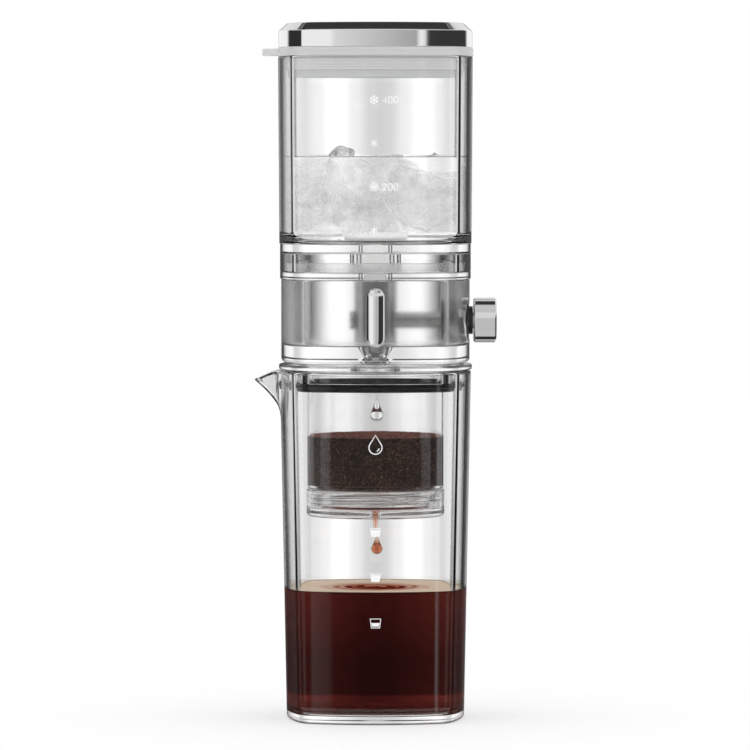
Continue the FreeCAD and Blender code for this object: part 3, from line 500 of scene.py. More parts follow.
# %% Pull the spout out of the wall
SPOUT_REACH, SPOUT_HALF_WIDTH, SPOUT_NOSE, SPOUT_SWEEP, SPOUT_ROOTED = 51.8, 12.5, 4.0, 1.7, 0.6
BLEND = 1.6


def spout_edge(y, z, share, inset):
    """How far the spout's plan reaches at a height and a distance from its middle, moved in by inset. The
    share is 0 at the spout's foot and 1 at its lip."""
    stands = SPOUT_REACH - jug_half(JUG_TOP - SPOUT_DROP)
    reach = jug_half(z) - SPOUT_ROOTED * (1 - share) + stands * share**SPOUT_SWEEP - inset
    nose = SPOUT_NOSE * (0.8 + 0.2 * share) - inset
    half_width = SPOUT_HALF_WIDTH * (0.35 + 0.65 * share**0.8) - inset
    back = jug_half(z) - JUG_WALL - inset
    run = reach - nose - back
    lean = math.atan2(half_width, -run) - math.acos(max(-1.0, min(1.0, nose / math.hypot(run, half_width))))
    touch_x, touch_y = reach - nose + nose * math.cos(lean), nose * math.sin(lean)
    if abs(y) <= touch_y:
        return reach - nose + math.sqrt(max(0.0, nose * nose - y * y))
    return touch_x + (back - touch_x) * (abs(y) - touch_y) / (half_width - touch_y)


def wall_edge(y, half):
    """How far the plain wall reaches at a distance from the middle of a side."""
    return math.sqrt((SIDE_BOW + half - PLAN_HALF)**2 - y * y) - BOW_BACK


def soft_max(a, b, blend):
    """The larger of two, with a smooth change from one to the other."""
    mix = max(0.0, min(1.0, 0.5 + 0.5 * (a - b) / blend))
    return b + (a - b) * mix + blend * mix * (1 - mix)


def rim_fall(reach):
    """How much lower the rim lies where the wall reaches this far out."""
    out = reach - (SPOUT_REACH - SPOUT_LIP_RUN)
    return SPOUT_DROP / SPOUT_LIP_RUN * soft_max(out, 0.0, 2.0)


def pull_spout(mesh):
    """Moves the wall's points out to the spout, inside and outside alike."""
    lip = JUG_TOP - 1.0
    for vertex in mesh.vertices:
        x, y, z = vertex.co / MM
        if x > 0 or abs(y) > 22 or z < spout_foot - 1.5:
            continue
        inset = jug_half(z) - (PLAN_HALF + math.hypot(-x + BOW_BACK, y) - SIDE_BOW)
        inset = max(0.0, min(JUG_WALL, inset))
        share = max(0.0, min(1.0, (z - spout_foot) / (lip - spout_foot)))
        rim = JUG_TOP - rim_fall(soft_max(spout_edge(y, JUG_TOP - SPOUT_DROP, 1.0, 0),
            wall_edge(y, RIM_HALF), BLEND))
        level = z
        if z > spout_foot:
            level = spout_foot + (z - spout_foot) * (rim - spout_foot) / (JUG_TOP - spout_foot)
        plain = wall_edge(y, jug_half(level) - inset)
        reach = soft_max(spout_edge(y, level, share, inset), plain, BLEND)
        fade = max(0.0, min(1.0, (z - spout_foot + 1.5) / 4))
        vertex.co = Vector((-(plain + (reach - plain) * fade), y, level)) * MM
    mesh.update()


pull_spout(jug.data)
tidy(jug.data)
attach(jug, "carafe")
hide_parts("carafe")
print("spout tip at x = %.2f mm" % (min(v.co.x for v in jug.data.vertices) / MM))

# %% [markdown]
# ## The filter insert
# A moulded flange hangs on the jug's rim. It carries a squared skirt with a black silicone band, and inside
# that a round cup for the ground coffee. The flange's and skirt's section is one closed line.

# %% Flange, skirt and silicone band
flange_low, flange_high = box_mm("insert_flange")
FLANGE_HALF, SKIRT_HALF, SKIRT_IN, SKIRT_NECK = flange_high.x, 35.9, 32.5, 34.6
PAD_HALF, SEAT_HALF, DRIP_HOLE = 39.7, 38.0, 9.1
flange_z, flange_top, seat_z, skirt_end = JUG_TOP + 0.45, JUG_TOP + 2.75, flange_high.z, flange_low.z
band_low, band_high = box_mm("insert_gasket")
flange = squared_piece("insert_flange_clear", [
    (DRIP_HOLE, flange_z, 0.3, 1), (ROUND_WITHIN, flange_z, 0, 1), (SKIRT_IN, flange_z, 0.4, 0),
    (SKIRT_IN, skirt_end, 0.3, 0),
    (SKIRT_NECK, skirt_end, 0.3, 0), (SKIRT_NECK, band_high.z, 0, 0), (SKIRT_HALF, band_high.z, 0.2, 0),
    (SKIRT_HALF, JUG_TOP, 0.2, 0), (PAD_HALF, JUG_TOP, 0.1, 0), (PAD_HALF, flange_z, 0.1, 0),
    (FLANGE_HALF, flange_z, 0.7, 0),
    (FLANGE_HALF, flange_top, 0.7, 0), (SEAT_HALF, flange_top, 0.1, 0), (SEAT_HALF, seat_z, 0.2, 0),
    (SKIRT_IN, seat_z, 0.2, 0), (SKIRT_IN, flange_top, 0.1, 0), (ROUND_WITHIN, flange_top, 0, 1),
    (DRIP_HOLE, flange_top, 0.3, 1)], CLEAR)
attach(flange, "insert")
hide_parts("insert_flange")
LIP_HALF = band_high.x
lip_z = band_high.z - 1.8
band = squared_piece("insert_band_silicone", [
    (SKIRT_NECK, band_low.z, 0.2, 0), (37.2, band_low.z, 0.7, 0), (37.2, lip_z, 0.15, 0),
    (LIP_HALF, lip_z, 0.25, 0),
    (LIP_HALF, lip_z + 0.9, 0.25, 0), (37.2, lip_z + 0.9, 0.15, 0), (37.2, band_high.z, 0.4, 0),
    (SKIRT_NECK, band_high.z, 0.1, 0)], BLACK_SILICONE, columns=144)
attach(band, "insert")
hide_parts("insert_gasket")
print("flange:", len(flange.data.polygons), "faces; band:", len(band.data.polygons), "faces")

# %% [markdown]
# ## The screw thread
# The filter base screws on the cup's neck with a two-start thread. A ridge is a small section swept along a
# helix that fades in and out at its ends, so a short node tree makes every ridge of both pieces.

# %% The thread's tree
THREAD_LEAD, THREAD_STARTS, THREAD_TURNS = 4.7, 2, 0.95


def thread_tree():
    """Sweeps a ridge section (x over the wall, z along the axis) round a helix, once for every start."""
    tree, given = node_group("Screw thread", [("Lead", "Float"), ("Turns", "Float"), ("Starts", "Int"),
                                              ("Steps", "Int"), ("Wall radius", "Float"), ("Low", "Float"),
                                              ("Material", "Material")])
    section = add(tree, "GeometryNodeMeshToCurve", {"Mesh": given["Geometry"]})
    kept = tree.nodes.new("GeometryNodeCaptureAttribute")
    kept.capture_items.new("VECTOR", "Section")
    tree.links.new(section.outputs[0], kept.inputs[0])
    tree.links.new(add(tree, "GeometryNodeInputPosition").outputs[0], kept.inputs[1])
    line = add(tree, "GeometryNodeCurvePrimitiveLine", {"End": (1.0, 0.0, 0.0)})
    stepped = add(tree, "GeometryNodeResampleCurve", {"Curve": line, "Count": given["Steps"]})
    along = tree.nodes.new("GeometryNodeCaptureAttribute")
    along.capture_items.new("FLOAT", "Along")
    tree.links.new(stepped.outputs[0], along.inputs[0])
    tree.links.new(add(tree, "GeometryNodeSplineParameter").outputs["Factor"], along.inputs[1])
    ridge = add(tree, "GeometryNodeCurveToMesh", {"Curve": along.outputs[0], "Profile Curve": kept.outputs[0],
                                                  "Fill Caps": True})
    share = along.outputs[1]
    parts = add(tree, "ShaderNodeSeparateXYZ", {0: kept.outputs[1]})
    left = add(tree, MATH, (1.0, share), operation="SUBTRACT")
    both_ends = add(tree, MATH, (share, left), operation="MULTIPLY")
    ends = add(tree, MATH, (both_ends, 14.0), operation="MULTIPLY")
    lifted = add(tree, MATH, (ends, 0.08), operation="ADD")
    full = add(tree, MATH, (lifted, 1.0), operation="MINIMUM")
    height = add(tree, MATH, (parts.outputs["X"], full), operation="MULTIPLY")
    radius = add(tree, MATH, (given["Wall radius"], height), operation="ADD")
    turned = add(tree, MATH, (share, given["Turns"]), operation="MULTIPLY")
    angle = add(tree, MATH, (turned, 2 * math.pi), operation="MULTIPLY")
    climbed = add(tree, MATH, (turned, given["Lead"]), operation="MULTIPLY")
    rise = add(tree, MATH, (climbed, given["Low"]), operation="ADD")
    cosine = add(tree, MATH, (angle,), operation="COSINE")
    sine = add(tree, MATH, (angle,), operation="SINE")
    x = add(tree, MATH, (radius, cosine), operation="MULTIPLY")
    y = add(tree, MATH, (radius, sine), operation="MULTIPLY")
    z = add(tree, MATH, (parts.outputs["Z"], rise), operation="ADD")
    place = add(tree, COMBINE, {"X": x, "Y": y, "Z": z})
    bent = add(tree, "GeometryNodeSetPosition", {"Geometry": ridge, "Position": place})
    starts = add(tree, "GeometryNodeMeshLine", {"Count": given["Starts"], "Offset": (0.0, 0.0, 0.0)})
    turn = add(tree, MATH, (2 * math.pi, given["Starts"]), operation="DIVIDE")
    index = add(tree, "GeometryNodeInputIndex")
    angles = add(tree, MATH, (index, turn), operation="MULTIPLY")
    spin = add(tree, COMBINE, {"Z": angles})
    copies = add(tree, "GeometryNodeInstanceOnPoints", {"Points": starts, "Instance": bent, "Rotation": spin})
    finish_group(tree, copies, given["Material"])
    return tree


SCREW_THREAD = thread_tree()


def thread(name, wall_radius, height, low, coating):
    """Every ridge of one thread, from height low; a negative height stands inward."""
    rooted = math.copysign(0.3, -height)
    points = [(rooted, -0.55), (0, -0.55), (height * 0.85, -0.32), (height, -0.2), (height, 0.2),
        (height * 0.85, 0.32),
              (0, 0.55), (rooted, 0.55)]
    vertices = [(x * MM, 0, z * MM) for x, z in points]
    edges = [(k, (k + 1) % len(points)) for k in range(len(points))]
    values = {"Lead": THREAD_LEAD * MM, "Turns": THREAD_TURNS, "Starts": THREAD_STARTS, "Steps": 120,
              "Wall radius": wall_radius * MM, "Low": low * MM, "Material": coating}
    return grown(name, vertices, edges, SCREW_THREAD, values, sharp=50.0)


# %% Cup with its neck, and the base that screws on it
CUP_BORE, CUP_OUT, NECK_RADIUS, NECK_BORE, NECK_HEIGHT = 28.7, 30.3, 27.5, 25.7, 8.1
neck_z = box_mm("filter_cup")[0].z
shoulder = neck_z + NECK_HEIGHT
# The ridges of the two threads lie half a pitch apart, this far on each side of the middle.
RIDGE_SHIFT = 0.59
thread_low = shoulder - (NECK_HEIGHT + THREAD_TURNS * THREAD_LEAD) / 2
cup = squared_piece("filter_cup_clear", [
    (CUP_OUT, flange_z, 0, 1), (CUP_OUT, shoulder, 0.8, 1), (NECK_RADIUS, shoulder, 0.3, 1),
    (NECK_RADIUS, neck_z, 0.4, 1),
    (NECK_BORE, neck_z, 0.3, 1), (NECK_BORE, shoulder + 1.6, 0.3, 1), (CUP_BORE, shoulder + 1.6, 1.4, 1),
    (CUP_BORE, flange_z, 0, 1)], CLEAR, rows=even_rows(shoulder + 3, flange_z - 1, 8))
cup_thread = thread("filter_cup_thread", NECK_RADIUS, 1.0, thread_low - RIDGE_SHIFT, CLEAR)
for piece in (cup, cup_thread):
    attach(piece, "insert")
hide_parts("filter_cup")

base_low, base_high = box_mm("filter_base")
BASE_OUT, BASE_ROOT, COLLAR_OUT, COLLAR_IN = 30.8, 28.9, 25.4, 23.2
base_floor, screen_z = base_low.z + 3.4, box_mm("filter_screen")[0].z
base = squared_piece("filter_base_clear", [
    (1.5, base_low.z, 0.3, 1), (12, base_low.z, 0, 1), (BASE_OUT, base_low.z, 1.6, 1),
    (BASE_OUT, base_high.z, 0.5, 1),
    (BASE_ROOT, base_high.z, 0.4, 1), (BASE_ROOT, base_floor, 0.5, 1), (COLLAR_OUT, base_floor, 0.3, 1),
    (COLLAR_OUT, screen_z, 0.3, 1), (COLLAR_IN, screen_z, 0.3, 1), (COLLAR_IN, base_floor, 0.3, 1),
    (COLLAR_IN - 1.2, base_floor, 0.3, 1), (1.5, base_low.z + 1.2, 0.3, 1)], CLEAR)
base_thread = thread("filter_base_thread", BASE_ROOT, -1.0, thread_low + RIDGE_SHIFT, CLEAR)
for piece in (base, base_thread):
    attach(piece, "base")
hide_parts("filter_base")
print("cup:", len(cup.data.polygons), "base:", len(base.data.polygons), "ridges:",
    len(cup_thread.data.polygons))

# %% [markdown]
# ## The valve block
# The block is a thick-walled clear box with a matt hollow. Two things are let into it: the bush of the
# valve's spindle at the right, and a polished pill at the front. Both recesses are cut with a Boolean
# before the bake.

# %% Sweep the block and cut its recesses
block_low, block_high = box_mm("valve_housing")
BLOCK_HALF, BLOCK_WALL, cavity_z = block_high.x, 6.0, block_low.z + 7.3
VALVE_Z = (box_mm("knob")[0].z + box_mm("knob")[1].z) / 2
block = squared_piece("valve_block_clear", [
    (8.2, block_low.z, 0.1, 1), (ROUND_WITHIN, block_low.z, 0, 1), (BLOCK_HALF, block_low.z, 1.8, 0),
    (BLOCK_HALF, block_high.z, 0.5, 0),
    (BLOCK_HALF - BLOCK_WALL, block_high.z, 0.5, 0), (BLOCK_HALF - BLOCK_WALL, cavity_z, 1.2, 0),
    (28.0, cavity_z, 0, 1),
    (6.7, cavity_z, 0.1, 1), (4.4, block_low.z + 2.4, 0.1, 1)], CLEAR, rows=even_rows(block_low.z + 3,
    block_high.z - 1, 3.5))


def lathe_x(name, profile, coating, columns=96):
    """A turned piece on the valve's axis; the profile is (x, radius, round)."""
    corners = [(radius, x, small, 1) for x, radius, small in profile]
    piece = squared_piece(name, corners, coating, closed=False, columns=columns)
    turn = Matrix.Translation((0, 0, VALVE_Z * MM)) @ Matrix.Rotation(math.radians(90), 4, "Y")
    piece.data.transform(turn)
    tidy(piece.data)
    return piece


PILL_HALF_WIDTH, PILL_SUNK = 3.9, 0.8
pill_low, pill_high = box_mm("front_pill")


def pill_ring(inset, y, count=24):
    """Points of the pill's outline, moved in by inset."""
    low, high = pill_low.z + PILL_HALF_WIDTH, pill_high.z - PILL_HALF_WIDTH
    radius = max(0.0, PILL_HALF_WIDTH - inset)
    points = []
    for centre, start in ((high, 0), (low, 180)):
        for k in range(count + 1):
            a = math.radians(start + 180 * k / count)
            points.append(Vector((radius * math.cos(a), y, centre + radius * math.sin(a))))
    return points


def pill_solid(name, rings, coating):
    """A solid from rings of equal length, closed at both ends."""
    vertices = [p * MM for ring in rings for p in ring]
    count = len(rings[0])
    faces = [tuple(reversed(range(count)))]
    for row in range(len(rings) - 1):
        for k in range(count):
            a, b = row * count + k, row * count + (k + 1) % count
            faces.append((a, b, b + count, a + count))
    faces.append(tuple(range((len(rings) - 1) * count, len(rings) * count)))
    mesh = bpy.data.meshes.new(name)
    mesh.from_pydata(vertices, [], faces)
    mesh.materials.append(coating)
    obj = bpy.data.objects.new(name, mesh)
    bpy.context.scene.collection.objects.link(obj)
    tidy(mesh)
    return obj


cutter = lathe_x("bush_recess", [(32.6, 0, 0), (32.6, 8.4, 0), (34.4, 8.4, 0), (34.4, 5.0, 0),
    (36.1, 5.0, 0), (36.1, 9.4, 0),
                                 (44, 9.4, 0), (44, 0, 0)], CLEAR)
pill_cutter = pill_solid("pill_recess", [pill_ring(-0.1, -BLOCK_HALF + PILL_SUNK),
    pill_ring(-0.1, -BLOCK_HALF - 3)], CLEAR)


def cut(obj, tool):
    """Takes a tool's solid away from an object and leaves a plain mesh."""
    modifier = obj.modifiers.new("cut", "BOOLEAN")
    modifier.operation, modifier.object, modifier.solver = "DIFFERENCE", tool, "EXACT"
    bpy.context.view_layer.update()
    mesh = bpy.data.meshes.new_from_object(obj.evaluated_get(bpy.context.evaluated_depsgraph_get()))
    obj.modifiers.clear()
    obj.data = mesh
    mesh.polygons.foreach_set("use_smooth", [True] * len(mesh.polygons))
    mesh.set_sharp_from_angle(angle=math.radians(35))
    bpy.data.objects.remove(tool)


cut(block, cutter)
cut(block, pill_cutter)
block.data.materials.append(MATT_CLEAR)
hollow = 0
for face in block.data.polygons:
    middle = face.center / MM
    inside = max(abs(middle.x), abs(middle.y)) < BLOCK_HALF - BLOCK_WALL + 0.4 and middle.z > cavity_z - 0.05
    face.material_index = 1 if inside and middle.z < block_high.z - 0.6 else 0
    hollow += face.material_index
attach(block, "tank")
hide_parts("valve_housing")
print("block:", len(block.data.polygons), "faces,", hollow, "of them matt")

# %% [markdown]
# ## The pill and the knob
# Both are polished steel. The pill is slightly crowned, so that it catches the studio as a soft stripe, and
# the knob is a plain drum with small chamfers, turned about the valve's axis.

# %% Crowned pill
pill_rings = [pill_ring(0, pill_high.y), pill_ring(0, -BLOCK_HALF - 0.1)]
PILL_FACE = abs(pill_low.y) - BLOCK_HALF
for k in range(1, 15):
    inset = PILL_HALF_WIDTH * (k / 14) ** 1.2
    crown = 1 - (1 - inset / PILL_HALF_WIDTH) ** 2
    pill_rings.append(pill_ring(inset, -BLOCK_HALF + 0.6 - (PILL_FACE + 0.6) * crown))
pill = pill_solid("front_pill_steel", pill_rings, POLISHED)
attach(pill, "tank")
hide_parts("front_pill")

# %% Turned knob
knob_low, knob_high = box_mm("knob")
KNOB_RADIUS = (knob_high.z - knob_low.z) / 2
knob = lathe_x("knob_steel", [(knob_low.x, 0, 0), (knob_low.x, 3.2, 0), (knob_low.x, KNOB_RADIUS - 0.6, 0.15),
                              (knob_low.x + 0.6, KNOB_RADIUS, 0.15), (knob_high.x - 0.6, KNOB_RADIUS, 0.15),
                              (knob_high.x, KNOB_RADIUS - 0.6, 0.15), (knob_high.x, 0, 0)], POLISHED,
                              columns=144)
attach(knob, "knob")
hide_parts("knob")
print("pill:", len(pill.data.polygons), "knob:", len(knob.data.polygons))

# %% [markdown]
# ## Deck and tank
# The deck closes the block and centres the tank, whose band goes down round it. Tank and deck are clear
# plastic like the block, but with thin polished walls.

# %% Deck plate and tank
deck_low, deck_high = box_mm("deck_plate")
tank_low, tank_high = box_mm("tank")
DECK_HALF, TANK_WALL, STEM_HOLE = deck_high.x, 2.4, 6.1
deck_top = tank_low.z
deck = squared_piece("deck_clear", [
    (STEM_HOLE, deck_low.z, 0.2, 1), (ROUND_WITHIN, deck_low.z, 0, 1), (DECK_HALF, deck_low.z, 0.6, 0),
    (DECK_HALF, deck_top, 0.4, 0),
    (38.4, deck_top, 0.2, 0), (38.4, deck_high.z, 0.3, 0), (36.4, deck_high.z, 0.3, 0),
    (36.4, deck_top, 0.3, 0),
    (ROUND_WITHIN, deck_top, 0, 1), (STEM_HOLE, deck_top, 0.2, 1)], CLEAR)
TANK_LOW_HALF, TANK_RIM_HALF, TANK_CORNER = 41.2, 41.7, 6.0
tank_floor = tank_low.z + 11.8
tank_under = tank_floor - 3.2
tank = squared_piece("tank_clear", [
    (STEM_HOLE, tank_low.z, 0.2, 1), (11, tank_low.z, 0.2, 1), (11, tank_under, 0.6, 1),
    (ROUND_WITHIN, tank_under, 0, 1),
    (DECK_HALF - TANK_WALL, tank_under, 1.0, 0), (DECK_HALF - TANK_WALL, tank_low.z, 0.2, 0),
    (DECK_HALF, tank_low.z, 0.4, 0),
    (DECK_HALF, tank_floor, 0.1, 0), (TANK_LOW_HALF, tank_floor, 0.12, 0),
    (TANK_RIM_HALF, tank_high.z, 0.8, 0),
    (TANK_RIM_HALF - TANK_WALL, tank_high.z, 0.8, 0), (TANK_LOW_HALF - TANK_WALL, tank_floor, TANK_CORNER, 0),
    (ROUND_WITHIN, tank_floor, 0, 1), (STEM_HOLE, tank_floor, 0.2, 1)], CLEAR, columns=240,
    rows=even_rows(tank_floor + 4, tank_high.z - 2, 14))


def matt_inside(piece, low, high, reach):
    """Gives the faces inside a half width, between two heights, the matt finish."""
    piece.data.materials.append(MATT_CLEAR)
    for face in piece.data.polygons:
        middle = face.center / MM
        if low < middle.z < high and max(abs(middle.x), abs(middle.y)) < reach:
            face.material_index = 1


matt_inside(deck, deck_top - 0.1, deck_high.z + 0.1, 40.0)
for piece, node in ((deck, "deck_plate"), (tank, "tank")):
    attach(piece, "tank")
    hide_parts(node)
print("deck:", len(deck.data.polygons), "tank:", len(tank.data.polygons))

# %% [markdown]
# ## The lid
# A pressed steel cap with a bevelled edge sits on a clouded silicone seal. The seal's rim has fine moulded
# grooves, and a pull tab sticks out over the spout.

# %% Cap
cap_low, cap_high = box_mm("lid_cap")
CAP_HALF = cap_high.x
cap = squared_piece("lid_cap_steel", [
    (0, cap_high.z, 0, 1), (27, cap_high.z, 0, 1), (CAP_HALF - 3.6, cap_high.z, 0.5, 0),
    (CAP_HALF, cap_high.z - 3.3, 0.6, 0),
    (CAP_HALF, cap_low.z, 0.35, 0), (CAP_HALF - 1.2, cap_low.z, 0.2, 0),
    (CAP_HALF - 1.2, cap_high.z - 3.9, 0.3, 0),
    (CAP_HALF - 4.8, cap_high.z - 1.2, 0.3, 0), (27, cap_high.z - 1.2, 0, 1), (0, cap_high.z - 1.2, 0, 1)],
    POLISHED, closed=False)
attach(cap, "lid")
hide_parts("lid_cap")

# %% Seal with grooves, and its pull tab
seal_low, seal_high = box_mm("lid_seal")
seal_z = tank_high.z
SEAL_HALF, SPIGOT_HALF, PLUG_HALF, SEAL_LIP = seal_high.x, 36.3, 38.3, 39.0
seal_section = [(SPIGOT_HALF, seal_low.z, 0.2, 0), (PLUG_HALF, seal_low.z, 0.3, 0)]
for top in (3.8, 0.9):
    seal_section += [(PLUG_HALF, seal_z - top - 1.0, 0.1, 0), (SEAL_LIP, seal_z - top - 0.8, 0.2, 0),
                     (SEAL_LIP, seal_z - top - 0.2, 0.2, 0), (PLUG_HALF, seal_z - top, 0.1, 0)]
seal_section += [(PLUG_HALF, seal_z, 0.1, 0)]
GROOVES = 2
GROOVE_STEP = (cap_low.z - seal_z) / GROOVES
for k in range(GROOVES):
    low, high = seal_z + GROOVE_STEP * k, seal_z + GROOVE_STEP * (k + 1)
    seal_section += [(SEAL_HALF - 0.2, low + 0.02, 0.0, 0), (SEAL_HALF, low + 0.3, 0.25, 0),
        (SEAL_HALF, high - 0.3, 0.25, 0)]
seal_section += [(SEAL_HALF - 0.2, cap_low.z, 0, 0), (SPIGOT_HALF, cap_low.z, 0.1, 0)]
seal = squared_piece("lid_seal_silicone", seal_section, CLOUDY_SILICONE)
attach(seal, "lid")
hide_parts("lid_seal")


def pull_tab():
    """A rounded tongue with softened edges, rooted in the seal's rim."""
    half_width, thick, end = 8.0, 3.0, -seal_low.x
    middle_z = (seal_z + cap_low.z) / 2
    rings = []
    for inset, z in ((0.5, -1.5), (0.15, -1.35), (0, -1.0), (0, 1.0), (0.15, 1.35), (0.5, 1.5)):
        radius = half_width - inset
        ring = [Vector((-(end - half_width) - radius * math.sin(math.radians(a)),
            radius * math.cos(math.radians(a)),
                        middle_z + z * thick / 3)) for a in range(0, 181, 6)]
        ring += [Vector((-38.6, -radius, middle_z + z * thick / 3)),
            Vector((-38.6, radius, middle_z + z * thick / 3))]
        rings.append(ring)
    return pill_solid("lid_seal_tab", rings, CLOUDY_SILICONE)


tab = pull_tab()
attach(tab, "lid")
print("cap:", len(cap.data.polygons), "seal:", len(seal.data.polygons))

# %% [markdown]
# ## Finishes of the CAD pieces that stay
# The turned parts of the valve, the nuts and the washers already have their true shape, so they only get
# their metal, rubber or plastic. Over the deck the valve's stem is wrapped in white thread tape.

# %% Give the other CAD pieces their finish
finishes = {
    TURNED: ["valve_body", "drip_nozzle", "valve_plug", "valve_needle", "valve_spindle", "knob_screw"],
    BLACK_PLASTIC: ["shaft_bush", "bush_nut"], CORE_PLASTIC: ["lid_core"], WHITE_PLASTIC: ["inlet_nut"],
    MESH_STEEL: ["filter_screen"],
    CLOUDY_SILICONE: ["screen_seal", "foot_seal", "inlet_washer"], BLACK_SILICONE: ["spindle_oring"]}
for coating, nodes in finishes.items():
    for node in nodes:
        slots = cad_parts[node].data.materials
        slots.clear()
        slots.append(coating)
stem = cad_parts["valve_body"]
stem.data.materials.append(WHITE_PLASTIC)
for face in stem.data.polygons:
    face.material_index = 1 if (stem.matrix_world @ face.center).z > deck_low.z * MM else 0
print("finished", sum(len(nodes) for nodes in finishes.values()), "CAD pieces")

# %% [markdown]
# ## Coffee in the jug
# The liquid's mesh reaches a little into the wall, as liquid that wets glass has no air between them, so
# the coffee seems to fill the jug right to its outer edge. A thin layer of it is red-brown and a thick one
# nearly black, which is what light absorbed on its way does.

# %% Coffee: brewed, clear and dark
# Coffee's Specular Tint is turned down to 0.1, because a mesh that reaches into the glass would mirror
# light there that wetted glass doesn't. The thread and the falling drop are far denser in colour, so that
# they show at all.
COFFEE_TOP = 56.0
RIPPLE_STEP = 5.2
DROP_X = 0.6


def make_liquid(name, ior, colour, density, mirror=1.0):
    made, tree, surface, out = material(name, Base_Color=(1, 1, 1, 1), Roughness=0.0, IOR=ior,
        Transmission_Weight=1.0,
                                        Specular_Tint=(mirror, mirror, mirror, 1))
    let_light_through(tree, surface, out, "d8cfc8" if density else "fafafa")
    if density:
        volume = add(tree, "ShaderNodeVolumeAbsorption", {"Color": linear(colour), "Density": density})
        tree.links.new(volume.outputs[0], out.inputs["Volume"])
    return made


COFFEE = make_liquid("coffee_brewed", 1.34, "bc6a52", 78.0, 0.1)
THIN_COFFEE = make_liquid("coffee_brewed_thread", 1.34, "e09330", 560.0)
WATER = make_liquid("water_still", 1.333, "ffffff", 0.0)
WALL_GAP, WALL_CONTACT = 0.06, 0.35


def coffee_half(z):
    """Half width of the coffee at a height, a little inside the glass."""
    return jug_half(z) - JUG_WALL + WALL_CONTACT


coffee = squared_piece("coffee", [
    (0, JUG_FLOOR - WALL_CONTACT, 0, 1), (24, JUG_FLOOR - WALL_CONTACT, 0, 1),
    (coffee_half(JUG_FLOOR), JUG_FLOOR - WALL_CONTACT, 3.1, 0),
    (coffee_half(COFFEE_TOP), COFFEE_TOP + 0.5, 0, 0),
    (coffee_half(COFFEE_TOP) - 0.3, COFFEE_TOP + 0.18, 0, 0),
    (coffee_half(COFFEE_TOP) - 0.9, COFFEE_TOP + 0.04, 0, 0),
    (coffee_half(COFFEE_TOP) - 2.4, COFFEE_TOP, 0, 0),
    (27.5, COFFEE_TOP, 0, 1), (0, COFFEE_TOP, 0, 1)], COFFEE, closed=False,
    rows=even_rows(JUG_FLOOR + 6, COFFEE_TOP - 3, 12))


def ripple(mesh, level, centre, reach):
    """Rings on the coffee where the drops fall."""
    bm = bmesh.new()
    bm.from_mesh(mesh)
    flat = [f for f in bm.faces if f.normal.z > 0.99 and f.calc_center_median().z > (level - 0.2) * MM]
    edges = list({e for f in flat for e in f.edges})
    bmesh.ops.subdivide_edges(bm, edges=[e for e in edges if e.calc_length() > 5 * MM], cuts=22,
        use_grid_fill=True)
    for vertex in bm.verts:
        offset = (vertex.co.xy / MM - centre).length
        if vertex.co.z > (level - 0.2) * MM and offset < reach:
            fade = (1 - offset / reach) ** 1.2
            vertex.co.z += 0.4 * fade * math.cos(offset / RIPPLE_STEP * 2 * math.pi) * MM
    bm.to_mesh(mesh)
    bm.free()


ripple(coffee.data, COFFEE_TOP, Vector((DROP_X, 0.0)), 24.0)
tidy(coffee.data)
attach(coffee, "carafe")
print("coffee:", len(coffee.data.polygons), "faces")


# %% The film on the coffee
# Fresh coffee carries a tan film of oil and fine foam. It is thin and broken, densest near the wall and
# washed away in the middle, where the drops fall. Its Specular IOR Level is 0, which real oil's isn't: at a
# grazing view the mirror image washes out its colour. In its place the film's colour has light rings along
# the ripples, painted highlights where the drops fall.
def make_film():
    made, tree, surface, out = material("coffee_oil_film", Roughness=0.5, Specular_IOR_Level=0.0)
    place = add(tree, "ShaderNodeTexCoord")
    flat = add(tree, "ShaderNodeVectorMath", {0: place.outputs["Object"], 1: (1, 1, 0)}, operation="MULTIPLY")
    away = add(tree, "ShaderNodeVectorMath", {0: flat}, operation="LENGTH")
    edge = add(tree, "ShaderNodeMapRange", {0: away.outputs["Value"], 1: 9 * MM, 2: 27 * MM, 3: 0.05,
        4: 0.95})
    drift = object_noise(tree, 9.0, 3.0).outputs["Fac"]
    swirl = add(tree, "ShaderNodeMapRange", {0: drift, 1: 0.35, 2: 0.65, 3: 0.8})
    cover = add(tree, "ShaderNodeMath", {0: edge, 1: swirl}, operation="MULTIPLY")
    # Painted highlights: light rings in the film's colour, one to each ripple, strongest in the middle where
    # the drops fall.
    bent = add(tree, "ShaderNodeMath", {0: drift, 1: 2 * MM, 2: away.outputs["Value"]},
        operation="MULTIPLY_ADD")
    ripple_highlight = add(tree, "ShaderNodeMath", {0: bent, 1: 2 * math.pi / (RIPPLE_STEP * MM)}, operation="MULTIPLY")
    ripple_highlight = add(tree, "ShaderNodeMath", {0: ripple_highlight}, operation="COSINE")
    calm = add(tree, "ShaderNodeMapRange", {0: away.outputs["Value"], 1: 3 * MM, 2: 22 * MM, 3: 0.34,
        4: 0.06})
    cover = add(tree, "ShaderNodeMath", {0: ripple_highlight, 1: calm, 2: cover}, operation="MULTIPLY_ADD")
    tint = add(tree, RAMP, {"Fac": cover}, stops=[(0.0, linear("541608")), (0.22, linear("8c3c28")),
        (0.45, linear("c49c88")), (0.8, linear("dccab4"))]).outputs[0]
    tree.links.new(tint, surface.inputs["Base Color"])
    clear = add(tree, "ShaderNodeBsdfTransparent", {"Color": (1, 1, 1, 1)})
    mixed = add(tree, "ShaderNodeMixShader", {0: 0.92, 1: clear, 2: surface})
    tree.links.new(mixed.outputs[0], out.inputs["Surface"])
    return made


